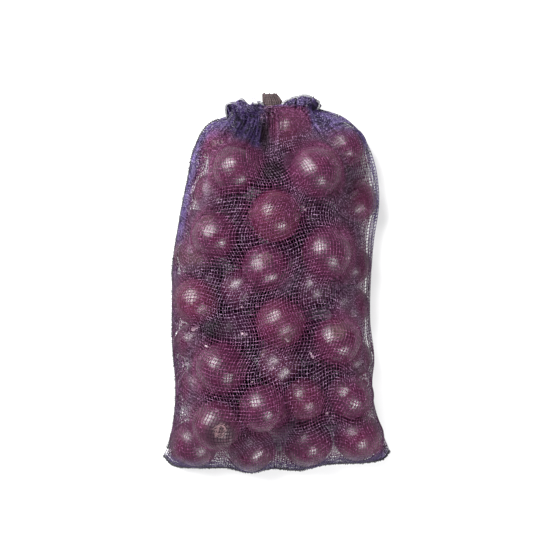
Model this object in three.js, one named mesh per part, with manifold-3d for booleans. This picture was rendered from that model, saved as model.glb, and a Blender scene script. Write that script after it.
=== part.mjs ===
// A net of red onions lying on its back: a flat woven net bag, sewn shut along its foot and its left
// side, filled with two to three layers of onions and gathered at the mouth. The net is drawn as the
// closed skin that it makes over the onions, which sinks into the hollows where they show through it.
// Millimetres. +Z is up, +Y points to the mouth and the origin is under the middle of the bag.
import * as THREE from "three";
import { mergeVertices } from "three/addons/utils/BufferGeometryUtils.js";
import Module from "manifold-3d";

// ---- The net bag ----
const NET_SKIN = 1.2; // from an onion's skin to the outside of the net
const COLUMNS = 36; // of the drawn skin, across one face of the bag
const ROWS = 56; // of the drawn skin, from the foot seam to the drawn-in mouth
const SIDE_FOLD_Z = 26; // height of the side folds, at the waist of the lowest onions
const FOOT_SEAM_Z = 20;
const EAR_Z = 7; // the empty corners of the foot droop to this
const EAR_REACH = 34; // how far from a corner the droop is felt
const MOUTH_Z = 34;
const MOUTH_HALF_DEPTH = 23;
const MOUTH_FULLNESS = 0.7; // 1 is a lens between the mouth's ends, less is rounder
const MOUTH_RISE_FROM = 120; // the side folds climb from here to the mouth

// The outline of the bag seen from above, from the foot's corners to the ends of the mouth.
const LEFT_FOLD = [
  [-142, -217], [-134, -200], [-127, -160], [-126, -125], [-130, -75], [-130, -10],
  [-130, 20], [-120, 85], [-110, 135], [-103, 167], [-86, 197], [-62, 208],
];
const RIGHT_FOLD = [
  [142, -211], [134, -192], [123, -158], [119, -125], [122, -96], [117, -50], [117, -9],
  [121, 50], [128, 104], [122, 150], [107, 184], [84, 206], [53, 217],
];
const FOOT_SEAM = [
  [-142, -217], [-130, -228], [-96, -231], [-62, -231], [-33, -237], [-5, -232], [29, -234],
  [61, -227], [116, -224], [135, -220], [142, -211],
];

// ---- The mouth: pleats and the ruffled hem above the draw-in ----
const HEM_ROWS = 3;
const HEM_HEIGHT = 5;
const HEM_FLARE = 4; // how far the hem opens out
const HEM_INSET = [0.95, 0.86]; // size of the hem's inside against its outside, across and in depth
const HEM_FULLNESS = 0.5; // 1 rises evenly from the mouth's ends, less is blunter
const HEM_LEAN = 0.25; // share of the flare that turns the hem away from the other face
const HEM_WAVE = 0.4; // share of the flare by which the pleats swing the hem
const HEM_TUFTS = [
  { x: -50, spread: 13, height: 13 },
  { x: -24, spread: 6, height: 5 },
  { x: 35, spread: 20, height: 13 },
];
const PLEATS = 6; // on each face
const PLEAT_DEPTH = 3.2;
const PLEAT_RUN = 50; // how far the pleats run down from the mouth

// ---- The sewn edges ----
const SEAM_RADIUS = 1.9;
const SEAM_GAP = 0.7; // between the seam's bead and the net's edge
const SEAM_SIDES = 8;
const FOOT_SEAM_STEPS = 40;
const SIDE_SEAM_STEPS = 44;
const SIDE_SEAM_START = 3; // rows that the side seam stays above the foot's corner

// ---- The onions ----
// The onions that show from above: x, y, diameter and height of the middle, left out on the floor.
const SEEN_ONIONS = [
  [87, 169, 55], [102, 101, 55], [-81, 112, 53], [-104, 36, 50], [94, 22, 52], [90, -28, 52],
  [-105, -72, 50], [98, -96, 50], [-102, -128, 52], [-100, -196, 61], [-64, 168, 52], [-36, -205, 61],
  [39, -200, 62], [101, -190, 62], [15, 191, 62, 35], [-93, -21, 60, 50], [-48, -11, 56, 42],
  [40, -4, 54, 40], [0, -106, 56, 48], [21, -143, 53, 60], [93, -148, 58, 50], [-50, 139, 62, 76],
  [47, 136, 65, 80], [-3, 83, 66, 84], [-72, 58, 58, 70], [-14, 19, 60, 82], [62, 37, 67, 76],
  [5, -49, 62, 84], [72, -71, 60, 76], [-68, -106, 65, 82], [-18, -155, 60, 76], [-74, -178, 62, 66],
];
const HIDDEN_DIAMETER = 57;
const HIDDEN_PITCH = 58; // of the staggered rows that fill the floor layer
const HIDDEN_ROW_PITCH = 51;
const HIDDEN_ROOM = 0.8; // share of two radii that a hidden onion keeps from its neighbours
const HIDDEN_REACH = [90, 170];
const DARK_GAPS = [[-64, -59], [11, -168], [0, 143], [42, -30], [60, -128]]; // no onion shows in these
const GAP_RADIUS = 22;
const FLOOR_TIER_TOP = 40; // onions whose middle is below this take up room on the floor
const SETTLE_STEPS = 240;
const SINK = 0.6; // fall of a hidden onion in each settling step
const HOLD = 0.08; // how firmly a seen onion keeps its place
const NECK_END_Y = 224; // the top onion reaches this far into the mouth
const FILLER_RADII = [14, 25]; // of the small onions that fill what room the floor layer leaves
const FILLER_OVERLAP = 1.5; // how far a small onion may press into its neighbours
const FILLER_REACH = { x: [-112, 112], y: [-196, 198] };
const FILLER_STEP = 2; // between the places that are tried

// ---- The top onion's dry neck, which stands out of the mouth ----
const NECK = {
  at: [-4, 214.5, 36],
  lean: 0.22, // towards the left
  length: 21,
  baseRadius: 11.5,
  tipRadius: 9.5,
  flatness: 0.62,
  ribs: 7,
  ribDepth: 0.07, // of the radius
  raggedness: 0.8, // how far the end's three teeth stand out
  teeth: 3,
  toothTurn: 1, // where the teeth begin, round the neck
  hollow: 1.5, // depth of the dried-in tip
};
const NECK_RINGS = 5;
const NECK_SIDES = 4; // for each rib
const NECK_GAP = 0.35; // between the neck and the net round it

// ---- How the net is drawn tight ----
const RELAX_STEPS = 420;
const LAST_STEPS = 60; // without over-relaxation, to leave the net smooth
const START_HEIGHT = 150; // of the upper face, before it is drawn down
const START_FULLNESS = 0.3; // 1 starts as a smooth arch along the bag, less is a flatter one
const OVER_RELAX = 1.6;
const SLACK = 0.22; // how far the upper face dips towards the heap's middle line in each step
const BACK_WEIGHT = 0.5; // how far the underside drops towards the floor in each step
const MIDDLE_Z = 30;
const SAG_STEPS = 60; // in which the tight upper face sinks into the hollows between the onions
const SAG = 1; // how far it sinks in each step
const SAG_PULL = 0.25; // share of the way to its neighbours' mean that a point moves in each step
const SAG_INSET = 4; // rows and columns from the edges to where it sinks in full
const HOLLOW_FLOOR = 28; // the hollows reach down to this
const WELD = 1e-3; // corners nearer than this are one

function flatCurve(points) {
  return new THREE.CatmullRomCurve3(points.map(([x, y]) => new THREE.Vector3(x, y, 0)), false, "centripetal");
}

const corners = [FOOT_SEAM[0], FOOT_SEAM[FOOT_SEAM.length - 1]];

// Height of the bag's edge line: level along the body, drooping at the foot's corners, rising to the mouth.
function edgeHeight(x, y, level) {
  const away = Math.min(...corners.map(([cx, cy]) => Math.hypot(x - cx, y - cy)));
  const droop = EAR_Z + (level - EAR_Z) * THREE.MathUtils.smoothstep(away, 0, EAR_REACH);
  return droop + (MOUTH_Z - level) * THREE.MathUtils.smoothstep(y, MOUTH_RISE_FROM, LEFT_FOLD.at(-1)[1]);
}

function edgeLine(points, count, level) {
  const curve = flatCurve(points);
  return Array.from({ length: count + 1 }, (_, k) => {
    const p = curve.getPointAt(k / count);
    return p.setZ(edgeHeight(p.x, p.y, level));
  });
}

// Hidden onions fill staggered rows on the floor wherever the seen ones and the dark gaps leave room.
function hiddenOnions(seen) {
  const [reachX, reachY] = HIDDEN_REACH;
  const r = HIDDEN_DIAMETER / 2;
  const onFloor = seen.filter((o) => o.z < FLOOR_TIER_TOP);
  const found = [];
  for (let row = 0; row * HIDDEN_ROW_PITCH <= 2 * reachY; row++) {
    const y = -reachY + row * HIDDEN_ROW_PITCH;
    for (let x = -reachX + ((row % 2) * HIDDEN_PITCH) / 2; x <= reachX; x += HIDDEN_PITCH) {
      const clear = onFloor.every((o) => Math.hypot(o.x - x, o.y - y) > HIDDEN_ROOM * (o.r + r));
      const dark = DARK_GAPS.some(([gx, gy]) => Math.hypot(gx - x, gy - y) < GAP_RADIUS);
      if (clear && !dark) found.push({ x, y, z: r + NET_SKIN, r, sinks: true });
    }
  }
  return found;
}

// Hidden onions sink, touching onions push each other apart, and the seen ones keep to their places.
function settledOnions() {
  const seen = SEEN_ONIONS.map(([x, y, d, z = d / 2 + NET_SKIN]) => {
    return { x, y, z, r: d / 2, home: [x, y, z] };
  });
  const onions = [...seen, ...hiddenOnions(seen)];
  for (let step = 0; step < SETTLE_STEPS; step++) {
    for (const o of onions) {
      if (o.sinks) o.z -= SINK;
      else ["x", "y", "z"].forEach((axis, k) => (o[axis] += HOLD * (o.home[k] - o[axis])));
    }
    onions.forEach((a, i) => onions.slice(i + 1).forEach((b) => pushApart(a, b)));
    onions.forEach(keepInBag);
  }
  return onions;
}

// The largest onion that has room on the floor at a place, among the others and inside the outline.
function fillerAt(x, y, onions) {
  const sizes = onions.map((o) => {
    const level = o.z - NET_SKIN;
    const radius = o.r - FILLER_OVERLAP;
    return ((o.x - x) ** 2 + (o.y - y) ** 2 + level ** 2 - radius ** 2) / (2 * (radius + level));
  });
  const r = Math.min(FILLER_RADII[1], ...sizes);
  const room = r + NET_SKIN;
  const inside =
    x - room >= valueOn(LEFT_FOLD, 1, 0, y) &&
    x + room <= valueOn(RIGHT_FOLD, 1, 0, y) &&
    y - room >= valueOn(FOOT_SEAM, 0, 1, x);
  return { x, y, z: room, r: inside ? r : 0 };
}

// Adds small onions on the floor, the largest that fits first, until there is no room for one.
function filledGaps(settled) {
  const onions = [...settled];
  const { x: acrossReach, y: alongReach } = FILLER_REACH;
  for (;;) {
    let best = { r: 0 };
    for (let y = alongReach[0]; y <= alongReach[1]; y += FILLER_STEP) {
      for (let x = acrossReach[0]; x <= acrossReach[1]; x += FILLER_STEP) {
        const found = fillerAt(x, y, onions);
        if (found.r > best.r) best = found;
      }
    }
    if (best.r < FILLER_RADII[0]) return onions;
    onions.push(best);
  }
}

// Keeps an onion above the floor and inside the bag's outline.
function keepInBag(o) {
  const room = o.r + NET_SKIN;
  const left = valueOn(LEFT_FOLD, 1, 0, o.y);
  const right = valueOn(RIGHT_FOLD, 1, 0, o.y);
  const foot = valueOn(FOOT_SEAM, 0, 1, o.x);
  o.z = Math.max(o.z, room);
  o.x = THREE.MathUtils.clamp(o.x, left + room, right - room);
  o.y = THREE.MathUtils.clamp(o.y, foot + room, NECK_END_Y - room);
}

// An outline's coordinate b where its coordinate a, which only grows, is at value.
function valueOn(points, a, b, value) {
  const k = points.findIndex((p) => p[a] >= value);
  if (k < 1) return points.at(k)[b];
  const [p, q] = [points[k - 1], points[k]];
  return THREE.MathUtils.mapLinear(value, p[a], q[a], p[b], q[b]);
}

function pushApart(a, b) {
  const [dx, dy, dz] = [b.x - a.x, b.y - a.y, b.z - a.z];
  const away = Math.hypot(dx, dy, dz);
  const bite = (a.r + b.r - away) / 2;
  if (bite <= 0) return;
  const share = bite / away;
  [a.x, a.y, a.z] = [a.x - dx * share, a.y - dy * share, a.z - dz * share];
  [b.x, b.y, b.z] = [b.x + dx * share, b.y + dy * share, b.z + dz * share];
}

// Moves a point of the net out of any onion that it has entered.
function clearOfOnions(p, onions) {
  for (const o of onions) {
    const [dx, dy, dz] = [p.x - o.x, p.y - o.y, p.z - o.z];
    const away = Math.hypot(dx, dy, dz);
    const grow = (o.r + NET_SKIN) / away;
    if (grow > 1 && away > 0) p.set(o.x + dx * grow, o.y + dy * grow, o.z + dz * grow);
  }
}

function forInner(grid, move) {
  for (let j = 1; j < ROWS; j++) {
    for (let i = 1; i < COLUMNS; i++) move(grid[j][i], j, i);
  }
}

function meanAround(grid, j, i) {
  const sum = grid[j - 1][i].clone().add(grid[j + 1][i]).add(grid[j][i - 1]).add(grid[j][i + 1]);
  return sum.divideScalar(4);
}

// One face of the bag: a grid hung between its four edges and drawn tight over the onions.
// side is 1 for the upper face and -1 for the underside, which the floor stops.
function drapedFace(edges, onions, side) {
  const { foot, mouth, left, right } = edges;
  const grid = [];
  for (let j = 0; j <= ROWS; j++) {
    const v = j / ROWS;
    grid.push([]);
    for (let i = 0; i <= COLUMNS; i++) {
      const u = i / COLUMNS;
      const across = left[j].clone().lerp(right[j], u);
      const upward = foot[i].clone().lerp(mouth[i], v);
      const footChord = foot[0].clone().lerp(foot[COLUMNS], u);
      const mouthChord = mouth[0].clone().lerp(mouth[COLUMNS], u);
      const p = across.add(upward).sub(footChord.lerp(mouthChord, v));
      const inner = i > 0 && i < COLUMNS && j > 0 && j < ROWS;
      const arch = Math.sin(Math.PI * u) * Math.sin(Math.PI * v) ** START_FULLNESS;
      if (inner && side > 0) p.z += START_HEIGHT * arch;
      if (inner && side < 0) p.z = 0;
      grid[j].push(p);
    }
  }
  const floor = side > 0 ? 2 * NET_SKIN : 0;
  for (let step = 0; step < RELAX_STEPS; step++) {
    const pull = step < RELAX_STEPS - LAST_STEPS ? OVER_RELAX : 1;
    forInner(grid, (p, j, i) => {
      p.lerp(meanAround(grid, j, i), pull);
      if (side > 0) p.sub(new THREE.Vector3(p.x, 0, p.z - MIDDLE_Z).setLength(SLACK));
      else p.z -= BACK_WEIGHT;
      clearOfOnions(p, onions);
      p.z = Math.max(p.z, floor);
    });
  }
  return grid;
}

// Height of the bare heap at a place, out to the net's outside.
function heapHeight(x, y, onions) {
  const tops = onions.map((o) => {
    const rise = (o.r + NET_SKIN) ** 2 - (x - o.x) ** 2 - (y - o.y) ** 2;
    return rise > 0 ? o.z + Math.sqrt(rise) : 0;
  });
  return Math.max(...tops);
}

// Lets a tight upper face sag into the hollows between the onions, but hardly along its edges.
function sagIntoHollows(grid, onions) {
  const lowest = grid.map((row) => {
    const level = Math.max(row[0].z, row.at(-1).z, HOLLOW_FLOOR);
    return row.map((p) => Math.min(p.z, Math.max(level, heapHeight(p.x, p.y, onions))));
  });
  for (let step = 0; step < SAG_STEPS; step++) {
    forInner(grid, (p, j, i) => {
      const inset = Math.min(i, COLUMNS - i, j, ROWS - j);
      const share = THREE.MathUtils.smoothstep(inset, 0, SAG_INSET);
      const drawn = THREE.MathUtils.lerp(p.z, meanAround(grid, j, i).z, share * SAG_PULL);
      p.z = Math.max(drawn - share * SAG, lowest[j][i]);
    });
  }
}

// The mouth's edge on one face, bowed out from the line between the ends of the folds.
function mouthArc(side) {
  const [left, right] = [LEFT_FOLD.at(-1), RIGHT_FOLD.at(-1)];
  return Array.from({ length: COLUMNS + 1 }, (_, i) => {
    const u = i / COLUMNS;
    const bow = Math.sin(Math.PI * u) ** MOUTH_FULLNESS;
    return new THREE.Vector3(
      THREE.MathUtils.lerp(left[0], right[0], u),
      THREE.MathUtils.lerp(left[1], right[1], u),
      MOUTH_Z + side * MOUTH_HALF_DEPTH * bow,
    );
  });
}

// Pleats gather the net's width into the mouth and die out down the face.
function pleat(grid, side) {
  const top = grid[ROWS][0].y;
  grid.forEach((row) => row.forEach((p, i) => {
    const u = i / COLUMNS;
    const near = THREE.MathUtils.smoothstep(p.y, top - PLEAT_RUN, top) * Math.sin(Math.PI * u);
    p.z += (side * near * PLEAT_DEPTH * (1 + Math.sin(2 * Math.PI * PLEATS * u))) / 2;
  }));
}

// The hem's rows continue a face past the mouth, open out and rise in tufts, and turn back inside.
function hemRows(grid, side) {
  const mouth = grid[ROWS];
  const middleX = (mouth[0].x + mouth[COLUMNS].x) / 2;
  const outside = (rise) => mouth.map((p, i) => {
    const u = i / COLUMNS;
    const heights = HEM_TUFTS.map((t) => t.height * Math.exp(-(((p.x - t.x) / t.spread) ** 2)));
    const tufts = heights.reduce((sum, height) => sum + height, 0);
    const open = Math.sin(Math.PI * u) ** HEM_FULLNESS;
    const wave = Math.sin(2 * Math.PI * PLEATS * u);
    return new THREE.Vector3(
      p.x - rise * HEM_FLARE * Math.cos(Math.PI * u),
      p.y + rise * (HEM_HEIGHT + tufts * open),
      p.z + side * rise * open * HEM_FLARE * (HEM_LEAN + HEM_WAVE * wave),
    );
  });
  const inside = (rise) => outside(rise).map((p) => new THREE.Vector3(
    middleX + (p.x - middleX) * HEM_INSET[0],
    p.y,
    MOUTH_Z + (p.z - MOUTH_Z) * HEM_INSET[1],
  ));
  const rises = Array.from({ length: HEM_ROWS }, (_, k) => (k + 1) / HEM_ROWS);
  return [...rises.map(outside), ...rises.toReversed().map(inside), inside(0)];
}

// A closed skin from two faces that share their edges, with a cap over the mouth.
function closedSkin(upper, under) {
  const positions = [];
  const quad = (a, b, c, d) => positions.push(a, b, c, a, c, d);
  for (const [grid, turned] of [[upper, false], [under, true]]) {
    for (let j = 0; j + 1 < grid.length; j++) {
      for (let i = 0; i < COLUMNS; i++) {
        const ring = [grid[j][i], grid[j][i + 1], grid[j + 1][i + 1], grid[j + 1][i]];
        quad(...(turned ? ring.reverse() : ring));
      }
    }
  }
  const [topFront, topBack] = [upper.at(-1), under.at(-1)];
  for (let i = 0; i < COLUMNS; i++) quad(topFront[i], topFront[i + 1], topBack[i + 1], topBack[i]);
  const geometry = new THREE.BufferGeometry().setFromPoints(positions);
  return mergeVertices(geometry, WELD);
}

// The bead of an overlocked seam, just outside a line of the net's edge.
function seamBead(line, outward, steps) {
  const path = line.map((p, k) => {
    const ahead = line[Math.min(k + 1, line.length - 1)];
    const behind = line[Math.max(k - 1, 0)];
    const run = ahead.clone().sub(behind).setZ(0).setLength(outward * (SEAM_RADIUS + SEAM_GAP));
    return p.clone().add(new THREE.Vector3(run.y, -run.x, 0));
  });
  const section = new THREE.Shape().absarc(0, 0, SEAM_RADIUS, 0, 2 * Math.PI);
  return new THREE.ExtrudeGeometry(section, {
    steps,
    curveSegments: SEAM_SIDES,
    bevelEnabled: false,
    extrudePath: new THREE.CatmullRomCurve3(path, false, "centripetal"),
  });
}

// The dry neck: a flattened, ribbed stub with a ragged end. grow makes it larger all round.
function dryNeck(grow) {
  const around = NECK.ribs * NECK_SIDES;
  const point = (k, a) => {
    const t = k / (NECK_RINGS - 1);
    const angle = (2 * Math.PI * a) / around;
    const radius = THREE.MathUtils.lerp(NECK.baseRadius, NECK.tipRadius, t);
    const r = radius * (1 + NECK.ribDepth * Math.cos(NECK.ribs * angle));
    const ragged = NECK.raggedness * t * Math.sin(NECK.teeth * angle + NECK.toothTurn);
    const y = t * NECK.length + ragged + grow * (2 * t - 1);
    return new THREE.Vector3((r + grow) * Math.cos(angle), y, (r * NECK.flatness + grow) * Math.sin(angle));
  };
  const positions = [];
  const bottom = new THREE.Vector3(0, -grow, 0);
  const top = new THREE.Vector3(0, NECK.length + grow - NECK.hollow, 0);
  for (let a = 0; a < around; a++) {
    for (let k = 0; k + 1 < NECK_RINGS; k++) {
      const [p, q, r, s] = [point(k, a), point(k, a + 1), point(k + 1, a + 1), point(k + 1, a)];
      positions.push(p, r, q, p, s, r);
    }
    positions.push(bottom, point(0, a), point(0, a + 1));
    positions.push(top, point(NECK_RINGS - 1, a + 1), point(NECK_RINGS - 1, a));
  }
  const geometry = new THREE.BufferGeometry().setFromPoints(positions);
  return mergeVertices(geometry.rotateZ(NECK.lean).translate(...NECK.at), WELD);
}

const wasm = await Module();
wasm.setup();

function solid(geometry) {
  const vertProperties = geometry.getAttribute("position").array;
  const triVerts = new Uint32Array(geometry.index.array);
  return new wasm.Manifold(new wasm.Mesh({ numProp: 3, vertProperties, triVerts }));
}

function cut(geometry, tool) {
  const made = solid(geometry).subtract(solid(tool)).getMesh();
  const result = new THREE.BufferGeometry();
  result.setAttribute("position", new THREE.BufferAttribute(made.vertProperties, 3));
  return result.setIndex(new THREE.BufferAttribute(made.triVerts, 1));
}

const heap = filledGaps(settledOnions());
const sideEdges = {
  foot: edgeLine(FOOT_SEAM, COLUMNS, FOOT_SEAM_Z),
  left: edgeLine(LEFT_FOLD, ROWS, SIDE_FOLD_Z),
  right: edgeLine(RIGHT_FOLD, ROWS, SIDE_FOLD_Z),
};
for (const line of Object.values(sideEdges)) line.forEach((p) => clearOfOnions(p, heap));
const faces = [1, -1].map((side) => {
  const grid = drapedFace({ ...sideEdges, mouth: mouthArc(side) }, heap, side);
  if (side > 0) sagIntoHollows(grid, heap);
  pleat(grid, side);
  const rows = [...grid, ...hemRows(grid, side)];
  rows.flat().forEach((p) => (p.z = Math.max(p.z, 0)));
  return rows;
});

function mesh(name, geometry, color, roughness) {
  const made = new THREE.Mesh(geometry, new THREE.MeshStandardMaterial({ color, roughness, metalness: 0 }));
  made.name = name;
  return made;
}

const group = new THREE.Group();
group.add(mesh("filled_net", cut(closedSkin(...faces), dryNeck(NECK_GAP)), 0x5a2f50, 0.45));
group.add(mesh("foot_seam", seamBead(sideEdges.foot, 1, FOOT_SEAM_STEPS), 0x241c3a, 0.7));
const sideSeamLine = sideEdges.left.slice(SIDE_SEAM_START, -1);
group.add(mesh("side_seam", seamBead(sideSeamLine, -1, SIDE_SEAM_STEPS), 0x241c3a, 0.7));
group.add(mesh("dry_neck", dryNeck(0), 0x7a6558, 0.9));

export default group;
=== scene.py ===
# %% [markdown]
# # A net of red onions
# A packer fills a flat woven net bag with red onions, sews it shut along the foot and gathers the mouth. Here the bag
# lies on its back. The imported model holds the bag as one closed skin, so this lesson puts real onions into it and a
# real net over them: first the heap, then the net drawn tight over the heap, then its threads, seams and mouth.

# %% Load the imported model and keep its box
import math
import random

import bpy
import numpy as np
from mathutils import Matrix, Vector
from mathutils.bvhtree import BVHTree


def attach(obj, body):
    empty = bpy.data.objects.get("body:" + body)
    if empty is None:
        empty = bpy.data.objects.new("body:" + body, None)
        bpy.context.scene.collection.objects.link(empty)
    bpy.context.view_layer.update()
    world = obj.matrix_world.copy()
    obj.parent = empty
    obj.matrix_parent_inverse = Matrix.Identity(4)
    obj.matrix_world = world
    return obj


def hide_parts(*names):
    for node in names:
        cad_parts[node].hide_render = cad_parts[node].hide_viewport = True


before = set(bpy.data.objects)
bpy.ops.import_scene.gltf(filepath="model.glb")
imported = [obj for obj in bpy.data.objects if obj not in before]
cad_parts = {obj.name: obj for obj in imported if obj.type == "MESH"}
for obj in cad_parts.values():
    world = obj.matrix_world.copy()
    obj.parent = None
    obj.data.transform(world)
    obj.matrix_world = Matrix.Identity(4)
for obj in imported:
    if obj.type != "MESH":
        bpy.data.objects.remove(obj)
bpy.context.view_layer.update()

MM = 0.001

# %% [markdown]
# ## The bag's outline
# A net bag has no shape of its own, but its seams and folds do: seen from above they are smooth lines between the two
# corners of the foot and the two ends of the mouth. A few points for each line are enough, since a Catmull-Rom curve
# passes through all of them without corners. Everything that follows hangs between these lines.

# %% Outline of the bag, in metres
LEFT_FOLD = MM * np.array([
    [-142, -217], [-134, -200], [-127, -160], [-126, -125], [-130, -75], [-130, -10],
    [-130, 20], [-120, 85], [-110, 135], [-103, 167], [-86, 197], [-62, 208],
])
RIGHT_FOLD = MM * np.array([
    [142, -211], [134, -192], [123, -158], [119, -125], [122, -96], [117, -50], [117, -9],
    [121, 50], [128, 104], [122, 150], [107, 184], [84, 206], [53, 217],
])
FOOT_SEAM = MM * np.array([
    [-142, -217], [-130, -228], [-96, -231], [-62, -231], [-33, -237], [-5, -232], [29, -234],
    [61, -227], [116, -224], [135, -220], [142, -211],
])
SIDE_FOLD_Z = 26 * MM
FOOT_SEAM_Z = 20 * MM
EAR_Z = 7 * MM
EAR_REACH = 34 * MM  # how far from a corner of the foot its ear droops
MOUTH_Z = 34 * MM
MOUTH_HALF_DEPTH = 23 * MM
MOUTH_FULLNESS = 0.7  # below 1 the mouth's edge bulges near its ends
MOUTH_RISE_FROM = 120 * MM
CURVE_STEPS = 40  # of each stretch between two points
TINY = 1e-12


def smoothstep(value, low, high):
    t = np.clip((value - low) / (high - low), 0, 1)
    return t * t * (3 - 2 * t)


def steps(count):
    return np.linspace(0, 1, count + 1)


def unit(vectors):
    return vectors / np.maximum(np.linalg.norm(vectors, axis=-1), TINY)[..., None]


def run_along(line):
    """How far along the line each of its points lies."""
    return np.concatenate([[0], np.cumsum(np.linalg.norm(np.diff(line, axis=0), axis=1))])


def points_at(line, run, at):
    return np.column_stack([np.interp(at, run, line[:, axis]) for axis in range(line.shape[1])])


def smooth_line(points, count):
    """A centripetal Catmull-Rom curve through the points, as count + 1 evenly spaced points."""
    p = np.vstack([2 * points[0] - points[1], points, 2 * points[-1] - points[-2]])
    fine = []
    for k in range(1, len(p) - 2):
        p0, p1, p2, p3 = p[k - 1:k + 3]
        d0, d1, d2 = (math.sqrt(np.linalg.norm(b - a)) for a, b in ((p0, p1), (p1, p2), (p2, p3)))
        start = ((p1 - p0) / d0 - (p2 - p0) / (d0 + d1) + (p2 - p1) / d1) * d1
        end = ((p2 - p1) / d1 - (p3 - p1) / (d1 + d2) + (p3 - p2) / d2) * d1
        t = np.linspace(0, 1, CURVE_STEPS, endpoint=False)[:, None]
        bend = 2 * p1 - 2 * p2 + start + end
        sway = 3 * p2 - 3 * p1 - 2 * start - end
        fine.append(p1 + t * (start + t * (sway + t * bend)))
    fine = np.vstack([*fine, points[-1:]])
    run = run_along(fine)
    return points_at(fine, run, np.linspace(0, run[-1], count + 1))


def edge_line(points, count, level):
    """One edge of the bag in space: level along the body, drooping at the ears and rising to the mouth."""
    flat = smooth_line(points, count)
    away = np.min([np.linalg.norm(flat - FOOT_SEAM[end], axis=1) for end in (0, -1)], axis=0)
    height = EAR_Z + (level - EAR_Z) * smoothstep(away, 0, EAR_REACH)
    height += (MOUTH_Z - level) * smoothstep(flat[:, 1], MOUTH_RISE_FROM, LEFT_FOLD[-1][1])
    return np.column_stack([flat, height])


def outline_at(x, y, unit=1):
    """Left fold, right fold and foot seam beside each point, in units of that many metres."""
    left = np.interp(y, LEFT_FOLD[:, 1] / unit, LEFT_FOLD[:, 0] / unit)
    right = np.interp(y, RIGHT_FOLD[:, 1] / unit, RIGHT_FOLD[:, 0] / unit)
    return left, right, np.interp(x, FOOT_SEAM[:, 0] / unit, FOOT_SEAM[:, 1] / unit)


print("foot seam is", round(float(np.ptp(FOOT_SEAM[:, 0])), 3), "m wide")

# %% [markdown]
# ## The heap of onions
# Real onions in a bag roll until each one touches its neighbours. A rigid-body simulation could do that, but it would
# not leave the onions where they are wanted. A gentler way keeps control: every visible onion starts where it shows,
# hidden ones fill the floor in staggered rows, and then all of them push each other apart a little at a time.

# %% Onions that show from above, in millimetres: x, y, diameter and height of the middle (left out on the floor)
SEEN_ONIONS = [
    (87, 169, 55), (102, 101, 55), (-81, 112, 53), (-104, 36, 50), (94, 22, 52), (90, -28, 52),
    (-105, -72, 50), (98, -96, 50), (-102, -128, 52), (-100, -196, 61), (-64, 168, 52), (-29, -205, 61),
    (39, -200, 62), (101, -190, 62), (15, 191, 62, 35), (-93, -21, 60, 50), (-48, -11, 56, 42),
    (40, -4, 54, 40), (0, -106, 56, 48), (21, -143, 53, 60), (93, -148, 58, 50), (-50, 139, 62, 76),
    (47, 136, 65, 80), (-3, 83, 66, 84), (-72, 58, 58, 70), (-14, 19, 60, 82), (62, 37, 67, 76),
    (5, -49, 62, 84), (72, -71, 60, 76), (-68, -106, 65, 82), (-18, -155, 60, 76), (-74, -178, 62, 66),
]
NET_SKIN = 1.2  # room that the net takes up round an onion
HIDDEN_DIAMETER = 57
HIDDEN_PITCH = 58
HIDDEN_ROW_PITCH = 51
HIDDEN_ROOM = 0.8  # a hidden onion may start this close to a seen one, as a share of both radii
HIDDEN_REACH = (90, 170)
DARK_GAPS = ((-64, -59), (11, -168), (0, 143), (42, -30), (60, -128))  # hollows that show dark stay free
GAP_RADIUS = 22
FLOOR_TIER_TOP = 40  # middles of the lowest onions are below this
SETTLE_STEPS = 240
SINK = 0.6  # of a hidden onion at each step
HOLD = 0.08  # pull of a seen onion towards its place
NECK_END_Y = 224
FILLER_RADII = (14, 25)
FILLER_OVERLAP = 1.5
FILLER_REACH = ((-112, 112), (-196, 198))
FILLER_STEP = 2.0  # of the grid of places that are tried


def hidden_onions(seen):
    """Rows of onions on the floor, wherever the seen ones and the dark gaps leave room."""
    radius = HIDDEN_DIAMETER / 2
    on_floor = [o for o in seen if o[2] < FLOOR_TIER_TOP]
    found = []
    for row in range(int(2 * HIDDEN_REACH[1] / HIDDEN_ROW_PITCH) + 1):
        y = -HIDDEN_REACH[1] + row * HIDDEN_ROW_PITCH
        x = -HIDDEN_REACH[0] + (row % 2) * HIDDEN_PITCH / 2
        while x <= HIDDEN_REACH[0]:
            clear = all(math.hypot(o[0] - x, o[1] - y) > HIDDEN_ROOM * (o[3] + radius) for o in on_floor)
            dark = any(math.hypot(gx - x, gy - y) < GAP_RADIUS for gx, gy in DARK_GAPS)
            if clear and not dark:
                found.append([x, y, radius + NET_SKIN, radius])
            x += HIDDEN_PITCH
    return found


def push_apart(a, b):
    """Two onions that touch move apart along the line between their middles."""
    dx, dy, dz = b[0] - a[0], b[1] - a[1], b[2] - a[2]
    reach = a[3] + b[3]
    if abs(dx) > reach or abs(dy) > reach:
        return
    away = math.sqrt(dx * dx + dy * dy + dz * dz)
    if away < reach:
        share = (reach - away) / 2 / away
        for axis, d in enumerate((dx, dy, dz)):
            a[axis] -= d * share
            b[axis] += d * share


def keep_in_bag(o):
    """Keeps an onion above the floor and inside the bag's outline."""
    room = o[3] + NET_SKIN
    left, right, foot = outline_at(o[0], o[1], MM)
    o[2] = max(o[2], room)
    o[0] = min(max(o[0], left + room), right - room)
    o[1] = min(max(o[1], foot + room), NECK_END_Y - room)


def settled_onions():
    """All onions as rows of x, y, z and radius, in metres. The seen ones come first."""
    seen = [[x, y, rest[0] if rest else d / 2 + NET_SKIN, d / 2] for x, y, d, *rest in SEEN_ONIONS]
    homes = [tuple(o[:3]) for o in seen]
    heap = seen + hidden_onions(seen)
    for _ in range(SETTLE_STEPS):
        for o, home in zip(heap, homes):
            for axis in range(3):
                o[axis] += HOLD * (home[axis] - o[axis])
        for o in heap[len(seen):]:
            o[2] -= SINK
        for k, a in enumerate(heap):
            for b in heap[k + 1:]:
                push_apart(a, b)
        for o in heap:
            keep_in_bag(o)
    return MM * np.array(heap)


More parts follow.
